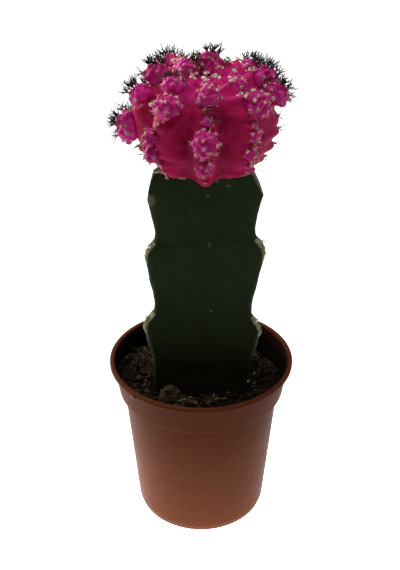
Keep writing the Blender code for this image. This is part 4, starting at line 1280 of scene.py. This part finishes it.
# Each set: where its spines may stand, which way they point, which of these places have them, how
# dark they are from 0 to 1, how many stand together, how flat and how unevenly they spread, and
# their size.
on_tubercles = (tubercle_place, tubercle_out)
on_ribs = (bare_place, bare_out)
on_stock = (stock_seat, stock_out, np.full(len(stock_seat), True))
spine_sets = (
    (*on_tubercles, crown & dark_side, tubercle_darkness, 7, 0.46, 0.12, 1.02),
    (*on_tubercles, crown & ~dark_side, np.minimum(tubercle_darkness, 0.3), 6, 0.58, 0.25, 0.9),
    (*on_tubercles, woolly & ~crown, 0.7 * tubercle_darkness, 3, 0.55, 0.20, 0.7),
    (*on_ribs, ~young & ~in_front, 0.85, 5, 0.50, 0.18, 1.15),
    (*on_ribs, fringed, 0.05, 11, 0.66, 0.25, 1.4),
    (*on_ribs, young, 0.05, 6, 0.45, 0.25, 1.1),
    (*on_stock, 0.75, 3, 0.50, 0.20, 1.0),
)
along_spine = np.linspace(0.0, 1.0, SPINE_RINGS)
share = along_spine[None, :, None]
spine_path = []
spine_tone = []
for index, (place, out, bearing, darkness, count, flatness, jitter, size) in enumerate(spine_sets):
    way = spread_round(out[bearing], count, flatness, jitter)
    if index == 0:
        tubercle_axis = np.broadcast_to(offset_axis[:, None], tubercle_out.shape)
        way = unit(way + np.repeat(tubercle_axis[bearing], count, axis=0) * CROWN_PULL)
    dark = np.repeat(np.broadcast_to(darkness, bearing.shape)[bearing], count)
    length = size * (0.0012 + 0.0022 * dark**2) * spine_draw.uniform(0.55, 1.20, len(way))
    root = np.repeat(place[bearing], count, axis=0)
    for axis in range(3):
        low_room = (cad_low[axis] + BOX_ROOM - root[:, axis]) / np.minimum(way[:, axis], -1e-6)
        high_room = (cad_high[axis] - BOX_ROOM - root[:, axis]) / np.maximum(way[:, axis], 1e-6)
        length = np.minimum(length, np.where(way[:, axis] < 0.0, low_room, high_room))
    bend = spine_draw.normal(size=way.shape) * 0.08
    curve = way[:, None] * share + bend[:, None] * share**2
    spine_path.append(root[:, None] + length[:, None, None] * curve)
    spine_tone.append(1.0 - dark + spine_draw.uniform(-0.30, 0.10, len(way)))
spine_path = np.concatenate(spine_path)
spine_path = np.clip(spine_path, np.add(cad_low, TIP_ROOM), np.subtract(cad_high, TIP_ROOM))
# A spine is pinkish tan at its root.
spine_tone = np.concatenate(spine_tone)[:, None] + 0.55 * (1.0 - along_spine) ** 3
taper = 1.0 - 0.85 * along_spine**2
spine_size = SPINE_RADIUS * spine_draw.uniform(0.8, 1.2, (len(spine_path), 1)) * taper

horn, tree, shader = new_finish("horn", {"Roughness": 0.5, "Specular IOR Level": 0.15})
tone = marked(tree, "tone")
brown = laid_over(tree, tone, 0.05, 0.70, (0.0045, 0.0032, 0.0028, 1), (0.24, 0.095, 0.060, 1))
feed(tree, shader["Base Color"], laid_over(tree, tone, 0.70, 1.0, brown, (0.72, 0.42, 0.33, 1)))
feed(tree, shader["Roughness"], patchy(tree, noise(tree, 0.0006), 0.45, 0.7))
new_piece("spines", horn, strands(spine_path, spine_size, 4), tone=spine_tone[..., None])
